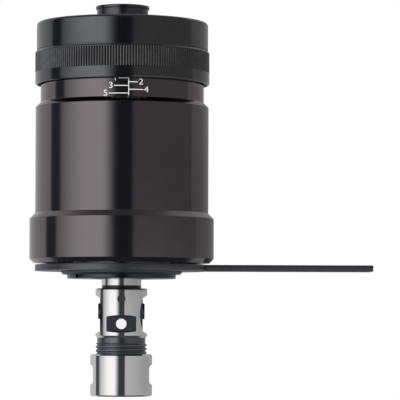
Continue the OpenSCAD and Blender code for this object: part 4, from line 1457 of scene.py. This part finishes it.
@dataclass
class Studio:
    """White surround with a large soft panel on the left, a weaker one on the right and dark gaps between.

    Angles are in degrees from the camera, positive to the right. A pair gives where a change starts and ends.
    """

    left: float = 1.15  # strength of the left panel
    left_near: Point = (-28.0, -6.0)  # where the left panel fades towards the camera
    left_far: Point = (-105.0, -42.0)  # where it weakens away from the camera
    left_far_share: float = 0.2  # strength of its far part, as a share
    left_end: Point = (-92.0, -86.0)  # where it ends
    right_low: float = 0.48  # strength of the right panel near the ground
    right_far_share: float = 0.74  # strength of its far part, as a share
    right_high: float = 0.12  # strength of the right panel higher up
    right_fade: Point = (25.0, 100.0)  # where the right panel weakens away from the camera
    right_near: Point = (12.0, 16.0)  # where it starts
    right_end: Point = (103.2, 104.0)  # where it ends
    right_rise: Point = (0.85, 1.4)  # elevation of the change from its lower to its upper part
    right_brighten: Point = (2.8, 6.2)  # elevation of the change to its brightest part
    right_brightest: float = 1.5  # strength of that part, as a share
    surround_left: float = 0.54  # strength of the white surround behind the left panel
    surround_left_end: Point = (-111.0, -106.0)  # where that surround starts
    surround_low: float = 0.36  # strength of the white surround behind the right panel, near the ground
    surround_high: float = 0.22  # strength of that surround higher up
    surround_high_end: Point = (104.4, 105.2)  # where the surround starts higher up
    dark: float = 0.05  # strength of the gaps
    dark_left: float = 1.5  # strength of the left gap, as a share
    dark_left_end: Point = (-80.0, -60.0)  # where the left gap ends
    overhead: float = 0.2  # strength of the light above
    rear_sky: float = 0.5  # level of the light above, behind the object
    rear_start: Point = (0.1, 0.45)  # how far back, from -1 to 1, that light starts
    sky_start: Point = (0.3, 0.55)  # height of a direction, from -1 to 1, where the light above starts
    below: float = 0.06  # strength of what the metal mirrors below
    below_end: Point = (-0.72, -0.55)  # height of a direction, from -1 to 1, where that ends
    gap_tint: Colour = (0.9, 1.06, 1.36)  # colour of the dark gaps
    tint_end: float = 4.0  # strength at which the tint is gone, as a share of the gaps' strength
    fill_watts: float = 14.0  # power of the fill lamp, which only lights matt surfaces
    fill_size: float = 0.9
    fill_place: Corner = (-0.35, -1.2, 0.35)
    fill_aim: Corner = (0.0, 0.0, -0.07)  # point that the lamp shines at
    floor_level: float = -0.2
    floor_grey: float = 0.86
    floor_rough: float = 0.9
    floor_glow: float = 0.4  # share of plain white that the camera sees in the floor under the object
    shadow_reach: float = 0.3  # how far from the axis the floor shows shadows, in metres
    floor_share: float = 2.2  # radius of the floor as a share of that reach
    floor_steps: int = 96

    def side_light(self, tree: Tree, angle: Socket, z: Socket) -> Socket:
        """Builds the panels, the surround behind them and the gaps.

        Args:
            tree: The world's tree.
            angle: Angle of the direction.
            z: Its height.

        Returns:
            The strength of the light from the sides.
        """
        near = ramp(tree, angle, *self.left_near, 1.0, 0.0)
        far = maths(tree, "MULTIPLY", ramp(tree, angle, *self.left_far, self.left_far_share, 1.0),
                    ramp(tree, angle, *self.left_end))
        left = maths(tree, "MULTIPLY", maths(tree, "MULTIPLY", near, far), self.left)
        behind_left = ramp(tree, angle, *self.surround_left_end, self.surround_left, 0.0)
        height = ramp(tree, z, *map(elevation, self.right_rise))
        upper = maths(tree, "MULTIPLY", height, ramp(
            tree, z, *map(elevation, self.right_brighten), 1.0, self.right_brightest))
        lower = maths(tree, "SUBTRACT", 1.0, height)
        low = ramp(tree, angle, *self.right_fade, self.right_low, self.right_far_share * self.right_low)
        panel = maths(tree, "ADD", maths(tree, "MULTIPLY", upper, self.right_high),
                      maths(tree, "MULTIPLY", lower, low))
        ends = maths(tree, "MULTIPLY", ramp(tree, angle, *self.right_near),
                     ramp(tree, angle, *self.right_end, 1.0, 0.0))
        behind_right = maths(
            tree, "ADD",
            maths(tree, "MULTIPLY", upper, ramp(tree, angle, *self.surround_high_end, 0.0, self.surround_high)),
            maths(tree, "MULTIPLY", lower, ramp(tree, angle, *self.right_end, 0.0, self.surround_low)))
        light = ramp(tree, angle, *self.dark_left_end, self.dark_left * self.dark, self.dark)
        for share in (left, behind_left, maths(tree, "MULTIPLY", panel, ends), behind_right):
            light = maths(tree, "ADD", light, share)
        return light

    def build_world(self) -> None:
        """Builds the world: white to the camera, panels and gaps to the metal."""
        world = bpy.data.worlds.new("studio")
        world.use_nodes = True
        bpy.context.scene.world = world
        tree = world.node_tree
        tree.nodes.clear()
        split = add(tree, "ShaderNodeSeparateXYZ", {0: add(tree, "ShaderNodeTexCoord").outputs["Generated"]})
        x, y, z = (split.outputs[k] for k in range(3))
        turn = maths(tree, "ARCTAN2", x, maths(tree, "MULTIPLY", y, -1.0))
        light = self.side_light(tree, maths(tree, "MULTIPLY", turn, 180.0 / math.pi), z)
        sides = maths(tree, "MULTIPLY", ramp(tree, z, *self.sky_start, 1.0, 0.0), ramp(tree, z, *self.below_end))
        above = maths(tree, "MULTIPLY", ramp(tree, z, *self.sky_start),
                      ramp(tree, y, *self.rear_start, self.overhead, self.rear_sky))
        lit = maths(tree, "ADD", maths(tree, "MULTIPLY", light, sides),
                    maths(tree, "ADD", above, ramp(tree, z, *self.below_end, self.below, 0.0)))
        seen = add(tree, "ShaderNodeLightPath").outputs["Is Camera Ray"]
        strength = maths(tree, "ADD", seen, maths(tree, "MULTIPLY", lit, maths(tree, "SUBTRACT", 1.0, seen)))
        tint = mixed(tree, ramp(tree, strength, self.dark, self.tint_end * self.dark), self.gap_tint, WHITE)
        shader = add(tree, "ShaderNodeBackground", {"Color": tint, "Strength": strength})
        add(tree, "ShaderNodeOutputWorld", {0: shader.outputs[0]})

    def build_floor(self) -> None:
        """Builds the pale floor well below the nut."""
        mesh = bmesh.new()
        bmesh.ops.create_circle(mesh, cap_ends=True, segments=self.floor_steps,
                                radius=self.floor_share * self.shadow_reach,
                                matrix=Matrix.Translation((0.0, 0.0, self.floor_level)))
        data = bpy.data.meshes.new("floor")
        mesh.to_mesh(data)
        mesh.free()
        material = bpy.data.materials.new("pale_floor")
        material.use_nodes = True
        tree = material.node_tree
        matte = tree.nodes["Principled BSDF"]
        feed(tree, matte, {"Base Color": (*[self.floor_grey] * 3, 1.0), "Roughness": self.floor_rough})
        glow = add(tree, "ShaderNodeEmission", {"Color": (*WHITE, 1.0)})
        place = add(tree, "ShaderNodeTexCoord").outputs["Object"]
        away = add(tree, "ShaderNodeVectorMath", {0: place}, operation="LENGTH").outputs["Value"]
        plain = ramp(tree, away, self.shadow_reach, 2 * self.shadow_reach, self.floor_glow, 1.0)
        seen = add(tree, "ShaderNodeLightPath").outputs["Is Camera Ray"]
        mix = add(tree, "ShaderNodeMixShader", {
            0: maths(tree, "MULTIPLY", seen, plain), 1: matte.outputs[0], 2: glow.outputs[0]})
        feed(tree, tree.nodes["Material Output"], {"Surface": mix.outputs[0]})
        data.materials.append(material)
        floor = bpy.data.objects.new("floor", data)
        floor.visible_glossy = False
        bpy.context.scene.collection.objects.link(floor)

    def build_fill(self) -> None:
        """Builds a soft lamp for matt surfaces, which the metal does not mirror."""
        data = bpy.data.lights.new("fill", "AREA")
        data.energy, data.shape, data.size = self.fill_watts, "DISK", self.fill_size
        lamp = bpy.data.objects.new("fill", data)
        lamp.visible_glossy = False
        place = Vector(self.fill_place)
        aim = Vector(self.fill_aim) - place
        lamp.matrix_world = Matrix.Translation(place) @ aim.to_track_quat("-Z", "Y").to_matrix().to_4x4()
        bpy.context.scene.collection.objects.link(lamp)

    def build(self) -> None:
        """Builds the surround, the fill and the floor."""
        self.build_world()
        self.build_fill()
        self.build_floor()


@dataclass
class Viewpoint:
    """Camera at the photograph's viewing angle."""

    distance: float = 1.08  # distance from the axis, in metres
    eye_level: float = -0.1303  # level of the lens, in metres
    focal_px: float = 2660.0  # focal length in pixels of the photograph
    frame_px: float = 400.0  # width of the photograph in pixels
    axis_px: float = 121.75  # where the axis crosses the eye level, in pixels from the left
    horizon_px: float = 327.0  # where the eye level lies, in pixels from the top
    roll: float = 0.17  # lean of the picture, in degrees
    sensor: float = 36.0

    def build(self) -> None:
        """Aims the camera so that the axis and the eye level fall where the photograph has them."""
        data = bpy.data.cameras.new("camera")
        data.sensor_width = self.sensor
        data.lens = self.focal_px / self.frame_px * self.sensor
        middle = self.frame_px / 2
        yaw = math.atan((middle - self.axis_px) / self.focal_px)
        pitch = math.atan((self.horizon_px - middle) / self.focal_px)
        camera = bpy.data.objects.new("camera", data)
        turn = (Matrix.Rotation(-yaw, 4, "Z") @ Matrix.Rotation(math.pi / 2 + pitch, 4, "X")
                @ Matrix.Rotation(math.radians(self.roll), 4, "Z"))
        camera.matrix_world = Matrix.Translation((0.0, -self.distance, self.eye_level)) @ turn
        bpy.context.scene.collection.objects.link(camera)
        bpy.context.scene.camera = camera


def dress_inner_nodes(nodes: dict[str, Piece], record: dict) -> None:
    """Gives every node its slot's finish, the inner ones and those that show as they are.

    Args:
        nodes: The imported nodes.
        record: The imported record.
    """
    slots = {part["node"]: part["material_slot"] for part in record["subparts"]}
    for name, piece in nodes.items():
        piece.data.materials.clear()
        piece.data.materials.append(PAINTS.of(SLOT_FINISH[slots[name]]))


def main() -> None:
    """Builds the camera, the studio and every sub-assembly."""
    logging.basicConfig(level=logging.INFO, format="%(message)s")
    bpy.context.scene.view_settings.view_transform = "Standard"
    Viewpoint().build()
    Studio().build()
    dress_inner_nodes(frame["nodes"], frame["record"])
    for assembly in (DriveHub(), TorqueCap(), Housing(), StopPlate(), ChuckNose(), ColletChuck(), CoilSprings()):
        assembly.build()


if __name__ == "__main__":
    main()
